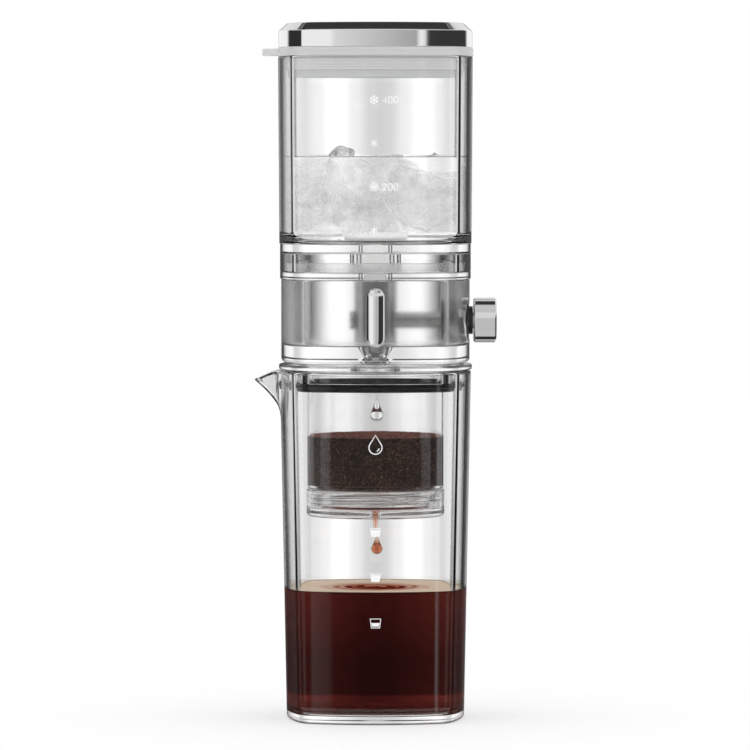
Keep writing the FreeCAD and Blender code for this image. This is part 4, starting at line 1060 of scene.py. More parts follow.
def film_over(source, level, coating):
    """A sheet a few hundredths of a millimetre over the top faces of a liquid."""
    bm = bmesh.new()
    bm.from_mesh(source.data)
    bmesh.ops.delete(bm,
        geom=[f for f in bm.faces if f.calc_center_median().z < (level - 0.6) * MM or f.normal.z < 0.5],
        context="FACES")
    bmesh.ops.translate(bm, verts=bm.verts, vec=(0, 0, 0.05 * MM))
    mesh = bpy.data.meshes.new("coffee_film")
    bm.to_mesh(mesh)
    bm.free()
    mesh.materials.clear()
    mesh.materials.append(coating)
    obj = bpy.data.objects.new("coffee_film", mesh)
    bpy.context.scene.collection.objects.link(obj)
    return obj


film = film_over(coffee, COFFEE_TOP, make_film())
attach(film, "carafe")
print("film:", len(film.data.polygons), "faces")

# %% [markdown]
# ## Ground coffee
# The bed of grounds fills the lower half of the cup. Its side, pressed on the clear wall, shows a dark
# speckled brown, and its top is a loose layer, so grains are scattered over it with Geometry Nodes.

# %% Material of the grounds
# Roasted, medium-fine ground and wet: matt brown with grains about half a millimetre wide. The loose layer
# on top is drawn lighter and redder than the pressed side.
def make_grounds(name, dark, middle, light, specks):
    made, tree, surface, out = material(name, Roughness=0.62, IOR=1.45)
    place = add(tree, "ShaderNodeTexCoord")
    grains = add(tree, "ShaderNodeTexVoronoi", {"Vector": place.outputs["Object"], "Scale": 1 / (0.55 * MM)})
    patches = object_noise(tree, 14.0, 1.0)
    tone = add(tree, "ShaderNodeMath", {0: grains.outputs["Color"], 1: 0.8}, operation="MULTIPLY")
    tone = add(tree, "ShaderNodeMath", {0: patches.outputs["Fac"], 1: 0.35, 2: tone},
        operation="MULTIPLY_ADD")
    colour = add(tree, RAMP, {"Fac": tone}, stops=[(0.2, linear(dark)), (0.6, linear(middle)),
        (0.85, linear(light)), (1.0, linear(specks))]).outputs[0]
    tree.links.new(colour, surface.inputs["Base Color"])
    tree.links.new(add(tree, "ShaderNodeBump", {"Height": grains.outputs["Distance"], "Strength": 0.8,
        "Distance": 0.3 * MM}).outputs[0], surface.inputs["Normal"])
    return made


GROUNDS = make_grounds("coffee_grounds_wet", "1a100b", "3c2a20", "5a4234", "8c6f5c")
LOOSE_GROUNDS = make_grounds("coffee_grounds_loose", "4a241b", "834a3c", "a4685a", "c09080")

# %% The bed
BED_TOP = 121.2
screen_top = box_mm("filter_screen")[1].z
bed = squared_piece("grounds_bed", [
    (0, screen_top + 0.02, 0, 1), (NECK_BORE - 0.06, screen_top + 0.02, 0.3, 1),
    (NECK_BORE - 0.06, shoulder + 1.5, 0.2, 1),
    (CUP_BORE + 0.1, shoulder + 1.5, 1.6, 1), (CUP_BORE + 0.1, BED_TOP, 0.3, 1), (20, BED_TOP + 0.3, 0, 1),
    (10, BED_TOP + 0.5, 0, 1),
    (0, BED_TOP + 0.4, 0, 1)], GROUNDS, closed=False, columns=144, rows=even_rows(shoulder + 4, BED_TOP - 1,
    6))
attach(bed, "insert")


# %% Loose grains on the bed
def grains_tree():
    """Scatters small many-sided grains over the faces that look up."""
    tree, given = node_group("Loose grains", [("Density", "Float"), ("Grain", "Float"), ("Seed", "Int"),
                                              ("Material", "Material")])
    facing = add(tree, "ShaderNodeSeparateXYZ", {0: add(tree, "GeometryNodeInputNormal")})
    up = add(tree, "ShaderNodeMath", {0: facing.outputs["Z"], 1: 0.7}, operation="GREATER_THAN")
    points = add(tree, "GeometryNodeDistributePointsOnFaces", {"Mesh": given["Geometry"], "Selection": up,
                                                               "Density": given["Density"],
                                                               "Seed": given["Seed"]})
    grain = add(tree, "GeometryNodeMeshIcoSphere", {"Radius": given["Grain"], "Subdivisions": 1})
    size = add(tree, "FunctionNodeRandomValue", {"Seed": given["Seed"]}, data_type="FLOAT_VECTOR")
    size.inputs[0].default_value, size.inputs[1].default_value = (0.35, 0.35, 0.3), (1.3, 1.0, 0.9)
    spin = add(tree, "FunctionNodeRandomValue", {"Seed": given["Seed"]}, data_type="FLOAT_VECTOR")
    spin.inputs[0].default_value, spin.inputs[1].default_value = (0, 0, 0), (6.28, 6.28, 6.28)
    placed = add(tree, "GeometryNodeInstanceOnPoints", {"Points": points, "Instance": grain,
        "Scale": size.outputs[0],
                                                        "Rotation": spin.outputs[0]})
    finish_group(tree, placed, given["Material"])
    return tree


GRAINS = grains_tree()


def scattered(name, source, tree, values):
    """A baked copy of what a tree scatters over a piece."""
    obj = bpy.data.objects.new(name, source.data.copy())
    bpy.context.scene.collection.objects.link(obj)
    modifier = obj.modifiers.new("scatter", "NODES")
    modifier.node_group = tree
    places = {item.name: item.identifier for item in tree.interface.items_tree if item.in_out == "INPUT"}
    for label, value in values.items():
        modifier[places[label]] = value
    bpy.context.view_layer.update()
    mesh = bpy.data.meshes.new_from_object(obj.evaluated_get(bpy.context.evaluated_depsgraph_get()))
    obj.modifiers.clear()
    obj.data = mesh
    mesh.polygons.foreach_set("use_smooth", [False] * len(mesh.polygons))
    return obj


grains = scattered("grounds_grains", bed, GRAINS, {"Density": 700000.0, "Grain": 0.55 * MM, "Seed": 4,
    "Material": LOOSE_GROUNDS})
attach(grains, "insert")
print("bed:", len(bed.data.polygons), "grains:", len(grains.data.polygons) // 20)

# %% [markdown]
# ## Water and ice in the tank
# The water stands a little below half of the tank. Old ice floats in it, cloudy with trapped air. Ice and
# water bend light almost alike, so the ice under the water is only seen by its haze, and its tips above the
# surface by their outline.

# %% Water
WATER_TOP = 240.3


def water_half(z):
    """Half width of the water at a height, just inside the tank's wall."""
    return (TANK_LOW_HALF - TANK_WALL
            + (TANK_RIM_HALF - TANK_LOW_HALF) * (z - tank_floor) / (tank_high.z - tank_floor) - WALL_GAP)


water = squared_piece("water", [
    (0, tank_floor + WALL_GAP, 0, 1), (ROUND_WITHIN, tank_floor + WALL_GAP, 0, 1), (water_half(tank_floor),
    tank_floor + WALL_GAP, TANK_CORNER, 0),
    (water_half(WATER_TOP), WATER_TOP + 0.6, 0, 0), (water_half(WATER_TOP) - 0.3, WATER_TOP + 0.25, 0, 0),
    (water_half(WATER_TOP) - 0.9, WATER_TOP + 0.06, 0, 0), (water_half(WATER_TOP) - 2.6, WATER_TOP, 0, 0),
    (ROUND_WITHIN, WATER_TOP, 0, 1), (0, WATER_TOP, 0, 1)], WATER, closed=False,
    rows=even_rows(tank_floor + 5, WATER_TOP - 3, 9))
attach(water, "tank")
print("water:", len(water.data.polygons), "faces")


# %% Material of the ice
# Frozen tap water: clear, with a cloud of fine bubbles in patches of some millimetres. Under water it bends
# light hardly at all, and only the cloud shows.
def make_ice(name, ior, clear_part, cloud):
    made, tree, surface, out = material(name, Base_Color=linear("fcfcfc"), Roughness=0.03, IOR=ior,
                                        Transmission_Weight=1.0)
    patches = object_noise(tree, 9.0, 4.0, 0.6)
    haze = add(tree, "ShaderNodeMapRange", {0: patches.outputs["Fac"], 1: clear_part, 2: 0.7, 3: 0.08,
        4: cloud})
    rim = add(tree, "ShaderNodeLayerWeight", {"Blend": 0.4})
    thick = add(tree, "ShaderNodeMath", {0: 1.0, 1: rim.outputs["Facing"]}, operation="SUBTRACT")
    haze = add(tree, "ShaderNodeMath", {0: haze, 1: thick}, operation="MULTIPLY")
    tone = add(tree, RAMP, {"Fac": object_noise(tree, 13.0, 5.0, 0.65).outputs["Fac"]},
        stops=[(0.36, linear("b4b4b5")), (0.56, linear("e8e8e8"))]).outputs[0]
    milky = add(tree, "ShaderNodeBsdfTranslucent", {"Color": tone})
    white = add(tree, "ShaderNodeBsdfDiffuse", {"Color": tone})
    cloudy = add(tree, "ShaderNodeMixShader", {0: 0.45, 1: milky, 2: white})
    mixed = add(tree, "ShaderNodeMixShader", {0: haze, 1: surface, 2: cloudy})
    tree.links.new(add(tree, "ShaderNodeBump", {"Height": object_noise(tree, 5.0, 3.0).outputs["Fac"],
        "Strength": 0.4, "Distance": 0.9 * MM}).outputs[0], surface.inputs["Normal"])
    clear = add(tree, "ShaderNodeBsdfTransparent", {"Color": linear("f8f8f8")})
    path = add(tree, "ShaderNodeLightPath")
    last = add(tree, "ShaderNodeMixShader", {0: path.outputs["Is Shadow Ray"], 1: mixed, 2: clear})
    tree.links.new(last.outputs[0], out.inputs["Surface"])
    return made


ICE_IN_WATER = make_ice("ice_cloudy_under_water", 0.99, 0.3, 0.75)
ICE_IN_AIR = make_ice("ice_clear_wet", 1.31, 0.5, 0.25)


# %% Lumps of ice
def ice_lump(name, centre, size, seed, coating, floor_z=None):
    """A broken block of ice: a squared lump cut by a few planes, turned and roughened. With floor_z it is cut
    off level at that height."""
    rng = random.Random(seed)
    bm = bmesh.new()
    bmesh.ops.create_cube(bm, size=2.0)
    bmesh.ops.subdivide_edges(bm, edges=bm.edges, cuts=13, use_grid_fill=True)
    turn = Matrix.Rotation(rng.uniform(0, 3.1), 3, "Z") @ Matrix.Rotation(rng.uniform(-0.6, 0.6), 3,
        "X") @ Matrix.Rotation(
        rng.uniform(-0.6, 0.6), 3, "Y")
    planes = [(Vector((rng.uniform(-1, 1), rng.uniform(-1, 1), rng.uniform(-1, 1))).normalized(),
        rng.uniform(0.8, 1.05))
              for _ in range(6)]
    for vertex in bm.verts:
        p = vertex.co / (abs(vertex.co.x) ** 6 + abs(vertex.co.y) ** 6 + abs(vertex.co.z) ** 6) ** (1 / 6)
        for facing, reach in planes:
            past = p.dot(facing) - reach
            if past > 0:
                p -= facing * past * 0.9
        p = Vector((p.x * size[0], p.y * size[1], p.z * size[2]))
        p += p.normalized() * 1.5 * noise.noise(p * 0.13 + Vector((seed, 0, 0)))
        p = turn @ p + Vector(centre)
        if floor_z is not None:
            p.z = max(p.z, floor_z)
        vertex.co = p * MM
    mesh = bpy.data.meshes.new(name)
    bm.to_mesh(mesh)
    bm.free()
    mesh.materials.append(coating)
    obj = bpy.data.objects.new(name, mesh)
    bpy.context.scene.collection.objects.link(obj)
    tidy(mesh)
    return obj


LUMPS = [((-19, -15, 218), (15, 13, 11)), ((-8, -14, 229), (14, 12, 9.5)), ((19, -16, 222), (14, 13, 12)),
         ((0, 6, 216), (13, 11, 10)), ((-22, 12, 224), (11, 12, 12)), ((21, 14, 221), (12, 13, 13)),
         ((2, 24, 226), (15, 10, 12))]
for k, (centre, size) in enumerate(LUMPS):
    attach(ice_lump("ice_lump_%d" % (k + 1), centre, size, 11 + k, ICE_IN_WATER), "tank")
TIPS = [((-14.6, -12, 239.0), (5.6, 4.4, 5.2), 5), ((24.4, -14, 239.2), (3.2, 3, 1.7), 8),
    ((2.0, 5, 239.4), (9, 7, 1.4), 3)]
for k, (centre, size, seed) in enumerate(TIPS):
    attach(ice_lump("ice_tip_%d" % (k + 1), centre, size, seed, ICE_IN_AIR, WATER_TOP + 0.03), "tank")
print("ice lumps:", len(LUMPS), "tips:", len(TIPS))


# %% Air bubbles on the tank's wall
# Melting ice lets out air, and fine bubbles cling to the inside of the front wall. In water a bubble is a
# tiny lens that spreads light, so it shows as a dark ring.
def bubbles_tree():
    """Scatters bubbles on the faces that look to the front, in patches."""
    tree, given = node_group("Clinging bubbles", [("Density", "Float"), ("Bubble", "Float"),
        ("Patches", "Float"),
                                                  ("Seed", "Int"), ("Material", "Material")])
    facing = add(tree, "ShaderNodeSeparateXYZ", {0: add(tree, "GeometryNodeInputNormal")})
    front = add(tree, "ShaderNodeMath", {0: facing.outputs["Y"], 1: -0.6}, operation="LESS_THAN")
    spots = add(tree, "ShaderNodeTexNoise", {"Vector": add(tree, "GeometryNodeInputPosition"),
        "Scale": given["Patches"],
                                             "Detail": 2.0})
    share = add(tree, "ShaderNodeMapRange", {0: spots.outputs["Fac"], 1: 0.5, 2: 0.68, 3: 0.03, 4: 1.0})
    density = add(tree, "ShaderNodeMath", {0: share, 1: given["Density"]}, operation="MULTIPLY")
    points = add(tree, "GeometryNodeDistributePointsOnFaces", {"Mesh": given["Geometry"], "Selection": front,
                                                               "Density": density, "Seed": given["Seed"]})
    bubble = add(tree, "GeometryNodeMeshUVSphere", {"Segments": 8, "Rings": 5, "Radius": given["Bubble"]})
    size = add(tree, "FunctionNodeRandomValue", {"Seed": given["Seed"]}, data_type="FLOAT")
    size.inputs[2].default_value, size.inputs[3].default_value = 0.45, 1.25
    placed = add(tree, "GeometryNodeInstanceOnPoints", {"Points": points, "Instance": bubble,
        "Scale": size.outputs[1]})
    finish_group(tree, placed, given["Material"])
    return tree


BUBBLES = bubbles_tree()
AIR = make_liquid("air_in_water", 0.75, "ffffff", 0.0)
source = squared_piece("bubble_wall", [(water_half(tank_floor) - 0.3, tank_floor + 4, 0, 0),
                                       (water_half(WATER_TOP) - 0.3, WATER_TOP - 4, 0, 0)], AIR, closed=False,
                       rows=even_rows(tank_floor + 4, WATER_TOP - 4, 3))
bubbles = scattered("air_bubbles", source, BUBBLES, {"Density": 900000.0, "Bubble": 0.2 * MM,
    "Patches": 70.0, "Seed": 7,
                                                     "Material": AIR})
bpy.data.objects.remove(source)
bubbles.data.polygons.foreach_set("use_smooth", [True] * len(bubbles.data.polygons))
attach(bubbles, "tank")
print("bubbles:", len(bubbles.data.polygons) // 40)

# %% [markdown]
# ## Drops and the stream
# Water drips from the nozzle, and coffee runs from the base in a short thread and falls in drops. A falling
# drop is nearly round, with a short neck where it has just let go. A shallow pool of coffee stands on the
# base's floor.

# %% Drops
def drop(name, centre, radius, neck, coating, body):
    """A drop with a neck of the given length above it."""
    corners = []
    for k in range(21):
        a = math.pi * k / 20
        up = max(0.0, -math.cos(a))
        half = radius * math.sin(a) * (1 - 0.5 * up**1.5)
        corners.append((half if 0 < k < 20 else 0, centre[2] - radius * math.cos(a) + neck * up**3, 0, 1))
    piece = squared_piece(name, corners, coating, closed=False, columns=48)
    piece.data.transform(Matrix.Translation((centre[0] * MM, centre[1] * MM, 0)))
    tidy(piece.data, sharp=80)
    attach(piece, body)
    return piece


drop("water_drop", (DROP_X, 0, 130.1), 2.95, 4.0, WATER, "insert")
drop("coffee_drop", (DROP_X, 0, 72.6), 2.5, 2.6, THIN_COFFEE, "base")
base_z = base_low.z
stream = squared_piece("coffee_stream", [
    (0, base_z + 1.3, 0, 1), (1.5, base_z + 1.2, 0, 1), (1.45, base_z, 0, 1), (1.3, base_z - 1.2, 0, 1),
    (1.05, base_z - 3.0, 0, 1),
    (0.9, base_z - 4.8, 0, 1), (0.6, base_z - 5.8, 0, 1), (0, base_z - 6.2, 0, 1)], THIN_COFFEE,
    closed=False, columns=32)
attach(stream, "base")
pool = squared_piece("coffee_pool", [
    (0, base_z + 1.3, 0, 1), (1.6, base_z + 1.3, 0, 1), (COLLAR_IN - 1.2, base_floor + 0.05, 0, 1),
    (COLLAR_IN - 0.05, base_floor + 0.05, 0, 1),
    (COLLAR_IN - 0.05, base_floor + 1.4, 0, 1), (COLLAR_IN - 0.8, base_floor + 1.2, 0, 1),
    (0, base_floor + 1.2, 0, 1)], COFFEE, closed=False, columns=96)
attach(pool, "base")
print("drops hung")

# %% [markdown]
# ## Printed marks
# Levels are screen-printed on the front in white ink a few hundredths of a millimetre thick. Each mark is
# drawn flat as lines, and one node tree thickens the lines and lays them on the bowed or round wall.

# %% The tree that prints
# The ink is opaque white and matt, and so thin that only its colour is seen.
def print_tree():
    """Sweeps flat lines (x across, y up) to strokes, or fills them, and wraps them on a curved wall."""
    tree, given = node_group("Screen print", [
        ("Stroke", "Float"), ("Filled", "Bool"), ("Wall radius", "Float"), ("Wall centre", "Float"),
        ("Lift", "Float"), ("Material", "Material")])
    lines = add(tree, "GeometryNodeMeshToCurve", {"Mesh": given["Geometry"]})
    half_stroke = add(tree, MATH, (given["Stroke"], 0.5), operation="MULTIPLY")
    nib = add(tree, "GeometryNodeCurvePrimitiveCircle", {"Resolution": 6, "Radius": half_stroke})
    strokes = add(tree, "GeometryNodeCurveToMesh", {"Curve": lines, "Profile Curve": nib, "Fill Caps": True})
    solid = add(tree, "GeometryNodeFillCurve", {0: lines})
    either = add(tree, SWITCH, {"Switch": given["Filled"], "False": strokes, "True": solid},
                 input_type="GEOMETRY")
    x, up, thick = add(tree, "ShaderNodeSeparateXYZ", {0: add(tree, "GeometryNodeInputPosition")}).outputs
    radius = given["Wall radius"]
    radius_squared = add(tree, MATH, (radius, radius), operation="MULTIPLY")
    x_squared = add(tree, MATH, (x, x), operation="MULTIPLY")
    bow_squared = add(tree, MATH, (radius_squared, x_squared), operation="SUBTRACT")
    bow = add(tree, MATH, (bow_squared,), operation="SQRT")
    wall = add(tree, MATH, (bow, given["Wall centre"]), operation="ADD")
    lift = add(tree, MATH, (thick, 0.1, given["Lift"]), operation="MULTIPLY_ADD")
    out = add(tree, MATH, (wall, lift), operation="ADD")
    to_front = add(tree, MATH, (out, -1.0), operation="MULTIPLY")
    place = add(tree, COMBINE, {"X": x, "Y": to_front, "Z": up})
    wrapped = add(tree, "GeometryNodeSetPosition", {"Geometry": either, "Position": place})
    finish_group(tree, wrapped, given["Material"])
    return tree


SCREEN_PRINT = print_tree()
INK = material("ink_screen_printed_white", Base_Color=linear("fafafa"), Roughness=0.55, IOR=1.45)[0]


def printed(name, lines, body, radius, centre, stroke=0.34, filled=False):
    """Prints lines of points on a wall; a line whose first and last points are equal is closed."""
    vertices, edges = [], []
    for line in lines:
        first, closed = len(vertices), line[0] == line[-1]
        points = line[:-1] if closed else line
        vertices += [(x * MM, y * MM, 0) for x, y in points]
        edges += [(first + k, first + k + 1) for k in range(len(points) - 1)]
        if closed:
            edges.append((first + len(points) - 1, first))
    values = {"Stroke": stroke * MM, "Filled": filled, "Wall radius": radius * MM, "Wall centre": centre * MM,
              "Lift": 0.04 * MM, "Material": INK}
    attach(grown(name, vertices, edges, SCREEN_PRINT, values, sharp=60.0, outward=not filled), body)


# %% Snowflakes and numbers on the tank
def turned(x, y, degrees):
    c, s = math.cos(math.radians(degrees)), math.sin(math.radians(degrees))
    return x * c - y * s, x * s + y * c


def snowflake(x, y, radius):
    """Six arms with a pair of twigs each."""
    lines = []
    for a in range(90, 450, 60):
        shapes = [[(0, 0), (radius, 0)]] + [[(radius * 0.55, 0),
            (radius * 0.85, side * radius * 0.3)] for side in (-1, 1) if radius > 1.7]
        lines += [[(x + u, y + v) for u, v in (turned(p, q, a) for p, q in shape)] for shape in shapes]
    return lines


def digit(shape, x, y, width, height):
    return [[(x + u * width, y + v * height) for u, v in line] for line in shape]


FOUR = [[(0.75, 0.0), (0.75, 1.0), (0.0, 0.3), (1.0, 0.3)]]
TWO = [[(0.0, 0.82), (0.2, 1.0), (0.8, 1.0), (1.0, 0.8), (1.0, 0.65), (0.0, 0.12), (0.0, 0.0), (1.0, 0.0)]]
NOUGHT = [[(0.0, 0.2), (0.0, 0.8), (0.2, 1.0), (0.8, 1.0), (1.0, 0.8), (1.0, 0.2), (0.8, 0.0), (0.2, 0.0),
    (0.0, 0.2)]]
FLAKE_X, NUMBER_X, NUMBER_WIDTH, NUMBER_HEIGHT, NUMBER_STEP = -0.6, 3.2, 1.5, 2.7, 2.3
marks = []
for level, first in ((264.6, FOUR), (227.9, TWO)):
    marks += snowflake(FLAKE_X, level, 1.9)
    for k, shape in enumerate((first, NOUGHT, NOUGHT)):
        marks += digit(shape, NUMBER_X + k * NUMBER_STEP, level - NUMBER_HEIGHT / 2, NUMBER_WIDTH,
            NUMBER_HEIGHT)
for level in (246.4, 209.8):
    marks += snowflake(FLAKE_X, level, 1.6)
printed("tank_marks", marks, "tank", SIDE_BOW + 0.6, -BOW_BACK, stroke=0.42)

# %% Drop on the cup and small cups on the jug
DROP_MARK = (0.0, 117.4, 2.75)
centre_x, centre_z, round_part = DROP_MARK
outline = [(centre_x + round_part * math.sin(a), centre_z - round_part * math.cos(a))
           for a in (math.radians(v) for v in range(-126, 127, 9))]
outline = [(centre_x, centre_z + 5.3)] + [(x, z) for x, z in reversed(outline)] + [(centre_x, centre_z + 5.3)]
gleam = [(centre_x + 1.6 * math.sin(math.radians(v)),
    centre_z - 1.6 * math.cos(math.radians(v))) for v in range(20, 81, 10)]
printed("cup_mark", [outline, gleam], "insert", CUP_OUT, 0.0, stroke=0.48)


def beaker(low, high, grow=0.0):
    """Outline of a small cup, wider at the top."""
    return [(-1.75 - grow, low), (1.75 + grow, low), (2.25 + grow, high), (-2.25 - grow, high),
        (-1.75 - grow, low)]


def bar(left, low, right, high):
    """Outline of a small upright rectangle."""
    return [(left, high), (right, high), (right, low), (left, low), (left, high)]


DASHES = (-2.2, -1.25, -0.3, 0.65, 1.6)
DASH = 0.55
full_cups = [beaker(80.2, 83.0), bar(-2.3, 83.4, 2.3, 83.9), beaker(61.0, 63.9)]
full_cups += [bar(x, 64.2, x + DASH, 64.6) for x in DASHES]
for k, line in enumerate(full_cups):
    printed("jug_mark_%d" % (k + 1), [line], "carafe", SIDE_BOW + jug_half(72) - PLAN_HALF + 0.2, -BOW_BACK,
        filled=True)
printed("jug_mark_outline", [beaker(41.5, 45.3)], "carafe", SIDE_BOW + jug_half(43) - PLAN_HALF + 0.1,
    -BOW_BACK, stroke=0.4)
printed("jug_mark_half", [beaker(42.1, 43.6, -0.4)], "carafe", SIDE_BOW + jug_half(43) - PLAN_HALF + 0.1,
    -BOW_BACK, filled=True)
print("marks printed")

# %% [markdown]
# ## Studio
# Clear and polished things get their shape from what they mirror and let through. The camera and matt
# surfaces see plain white. Mirrored rays and rays that come through see bands of light and dark, painted
# here by direction. This is not a plain light: the bands were set for a view from the front, glass sees
# other bands than steel does, and under an even white light the clear walls would show fewer dark
# lines.

# %% World
def by_angle(greys):
    """Ramp stops for a list of (degrees from the front, grey)."""
    return [((angle + 180) / 360, (grey, grey, grey, 1)) for angle, grey in greys]


def make_world():
    world = bpy.data.worlds.new("studio")
    world.use_nodes = True
    tree = world.node_tree
    tree.nodes.clear()

    def band(value, low, low_full, high_full, high):
        """1 between low_full and high_full, falling to 0 at low and high."""
        rise = add(tree, "ShaderNodeMapRange", {0: value, 1: low, 2: low_full})
        fall = add(tree, "ShaderNodeMapRange", {0: value, 1: high_full, 2: high, 3: 1.0, 4: 0.0})
        return add(tree, MATH, (rise, fall), operation="MULTIPLY")

    place = add(tree, "ShaderNodeTexCoord")
    x, y, z = add(tree, "ShaderNodeSeparateXYZ", {0: place.outputs["Generated"]}).outputs
    to_front = add(tree, MATH, (y, -1.0), operation="MULTIPLY")
    sideways = add(tree, MATH, (x, to_front), operation="ARCTAN2")
    around = add(tree, MATH, (sideways, 1 / (2 * math.pi), 0.5), operation="MULTIPLY_ADD")
    upward = add(tree, MATH, (z, to_front), operation="ARCTAN2")
    over = add(tree, MATH, (upward, 1 / (2 * math.pi), 0.5), operation="MULTIPLY_ADD")
    walls = add(tree, RAMP, {"Fac": around}, stops=by_angle([
        (-180, 0.3), (-174, 0.5), (-168, 1.0), (-144, 1.0), (-141, 0.03), (-70, 0.03), (-66, 1.0),
        (-27.5, 1.0), (-25, 0.8), (25.5, 0.42), (27, 0.97), (30.5, 0.97), (32.5, 0.04), (148, 0.04),
        (152, 1.0), (168, 1.0), (174, 0.5), (180, 0.3)])).outputs[0]
    top_and_bottom = add(tree, RAMP, {"Fac": over}, stops=by_angle([
        (-180, 0.9), (-132, 0.85), (-121, 0.85), (-118, 0.03), (-94, 0.03), (-91, 0.62), (70, 0.66),
        (86, 0.6), (89, 0.04), (116, 0.04), (119, 1.0), (142, 1.0), (146, 0.04), (156, 0.04),
        (160, 0.9), (180, 0.9)])).outputs[0]
    off_level = add(tree, MATH, (z,), operation="ABSOLUTE")
    steep = add(tree, "ShaderNodeMapRange", {0: off_level, 1: 0.75, 2: 0.9})
    around_the_set = add(tree, MIX, (steep, walls, top_and_bottom))
    by_glass = add(tree, RAMP, {"Fac": around}, stops=by_angle([
        (-180, 0.1), (-144, 0.1), (-141, 0.03), (-70, 0.03), (-66, 1.0), (-27.5, 1.0), (-25, 0.8),
        (25.5, 0.42), (27, 0.97), (30.5, 0.97), (32.5, 0.04), (148, 0.04), (152, 0.08), (168, 0.12),
        (175, 0.4), (180, 0.5)])).outputs[0]
    by_jug = add(tree, RAMP, {"Fac": around}, stops=by_angle([
        (-180, 0.3), (-172, 0.08), (-160, 0.03), (-43, 0.03), (-41, 0.6), (-29, 0.3), (-27, 0.03),
        (38, 0.03), (38.6, 1.6), (40.2, 1.6), (41, 0.03), (152, 0.04), (168, 0.12), (175, 0.4),
        (180, 0.5)])).outputs[0]
    shallow = band(z, -0.17, -0.15, -0.042, -0.038)
    sharp = add(tree, MIX, (shallow, by_glass, by_jug))
    in_glass = add(tree, MIX, (steep, sharp, top_and_bottom))
    path = add(tree, "ShaderNodeLightPath")
    mirrored = add(tree, MIX, (path.outputs["Is Singular Ray"], around_the_set, in_glass))
    raised = band(z, 0.12, 0.28, 0.6, 0.75)
    mirrored = add(tree, MIX, (raised, mirrored, (0.8, 0.8, 0.8, 1)))
    windows = add(tree, RAMP, {"Fac": around}, stops=by_angle([
        (-180, 1.0), (-178.5, 1.0), (-176.5, 0.06), (-161, 0.06), (-148, 0.75), (-122, 0.75),
        (-117, 0.08), (-102, 0.08), (-99, 0.85), (-81, 0.85), (-78, 0.06), (78, 0.06), (81, 0.85),
        (99, 0.85), (102, 0.08), (117, 0.08), (122, 0.75), (144, 0.75), (150, 0.06), (176.5, 0.06),
        (178.5, 1.0), (180, 1.0)])).outputs[0]
    level = band(z, -0.24, -0.19, 0.25, 0.5)
    below = add(tree, MATH, (z, 0.0), operation="LESS_THAN")
    beyond = add(tree, MIX, (below, (0.08, 0.08, 0.08, 1), (0.9, 0.9, 0.9, 1)))
    halved = add(tree, MIX, (0.5, (0, 0, 0, 1), windows))
    above_sill = add(tree, "ShaderNodeMapRange", {0: z, 1: -0.085, 2: -0.065})
    windows = add(tree, MIX, (above_sill, halved, windows))
    seen = add(tree, MIX, (level, beyond, windows))
    colour = add(tree, MIX, (path.outputs["Is Glossy Ray"], (1, 1, 1, 1), mirrored))
    colour = add(tree, MIX, (path.outputs["Is Transmission Ray"], colour, seen))
    from_matt = add(tree, MATH, (path.outputs["Diffuse Depth"], 0.5), operation="GREATER_THAN")
    colour = add(tree, MIX, (from_matt, colour, (1, 1, 1, 1)))
    colour = add(tree, MIX, (path.outputs["Is Camera Ray"], colour, (1, 1, 1, 1)))
    light = add(tree, "ShaderNodeBackground", {"Color": colour, "Strength": 1.0})
    add(tree, "ShaderNodeOutputWorld", {"Surface": light})
    bpy.context.scene.world = world


make_world()
print("world:", len(bpy.context.scene.world.node_tree.nodes), "nodes")


# %% Floor
# Pale laminate, so pale that the even light makes it white; only the object's shadow shows on it.
def make_floor():
    made, tree, surface, out = material("laminate_white", Roughness=0.6, IOR=1.45, Specular_IOR_Level=0.0)
    speckle = object_noise(tree, 3.0)
    tone = add(tree, "ShaderNodeMapRange", {0: speckle.outputs["Fac"], 3: 0.59, 4: 0.61})
    tree.links.new(tone.outputs[0], surface.inputs["Base Color"])
    surface.inputs["Emission Color"].default_value = (1, 1, 1, 1)
    surface.inputs["Emission Strength"].default_value = 0.42
    mesh = bpy.data.meshes.new("floor")
    side = 3.0
    mesh.from_pydata([(-side, -side, 0), (side, -side, 0), (side, side, 0), (-side, side, 0)], [],
        [(0, 1, 2, 3)])
    mesh.materials.append(made)
    floor = bpy.data.objects.new("floor", mesh)
    bpy.context.scene.collection.objects.link(floor)
    floor.visible_glossy = floor.visible_transmission = False
    floor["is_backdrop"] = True


make_floor()
print("floor laid")

# %% A graded card behind the tower
# Clear things can be set against a graded card just behind them: its tone is what is seen through them, and
# beyond its edges their walls pick up the dark. Only rays that come through the object see it. Its tones
# change at the heights where this tower's parts meet, so it belongs to this tower and to views from the
# front.
CARD_HALF, CARD_PLACE, CARD_TOP = 52.0, 52.0, 283.0


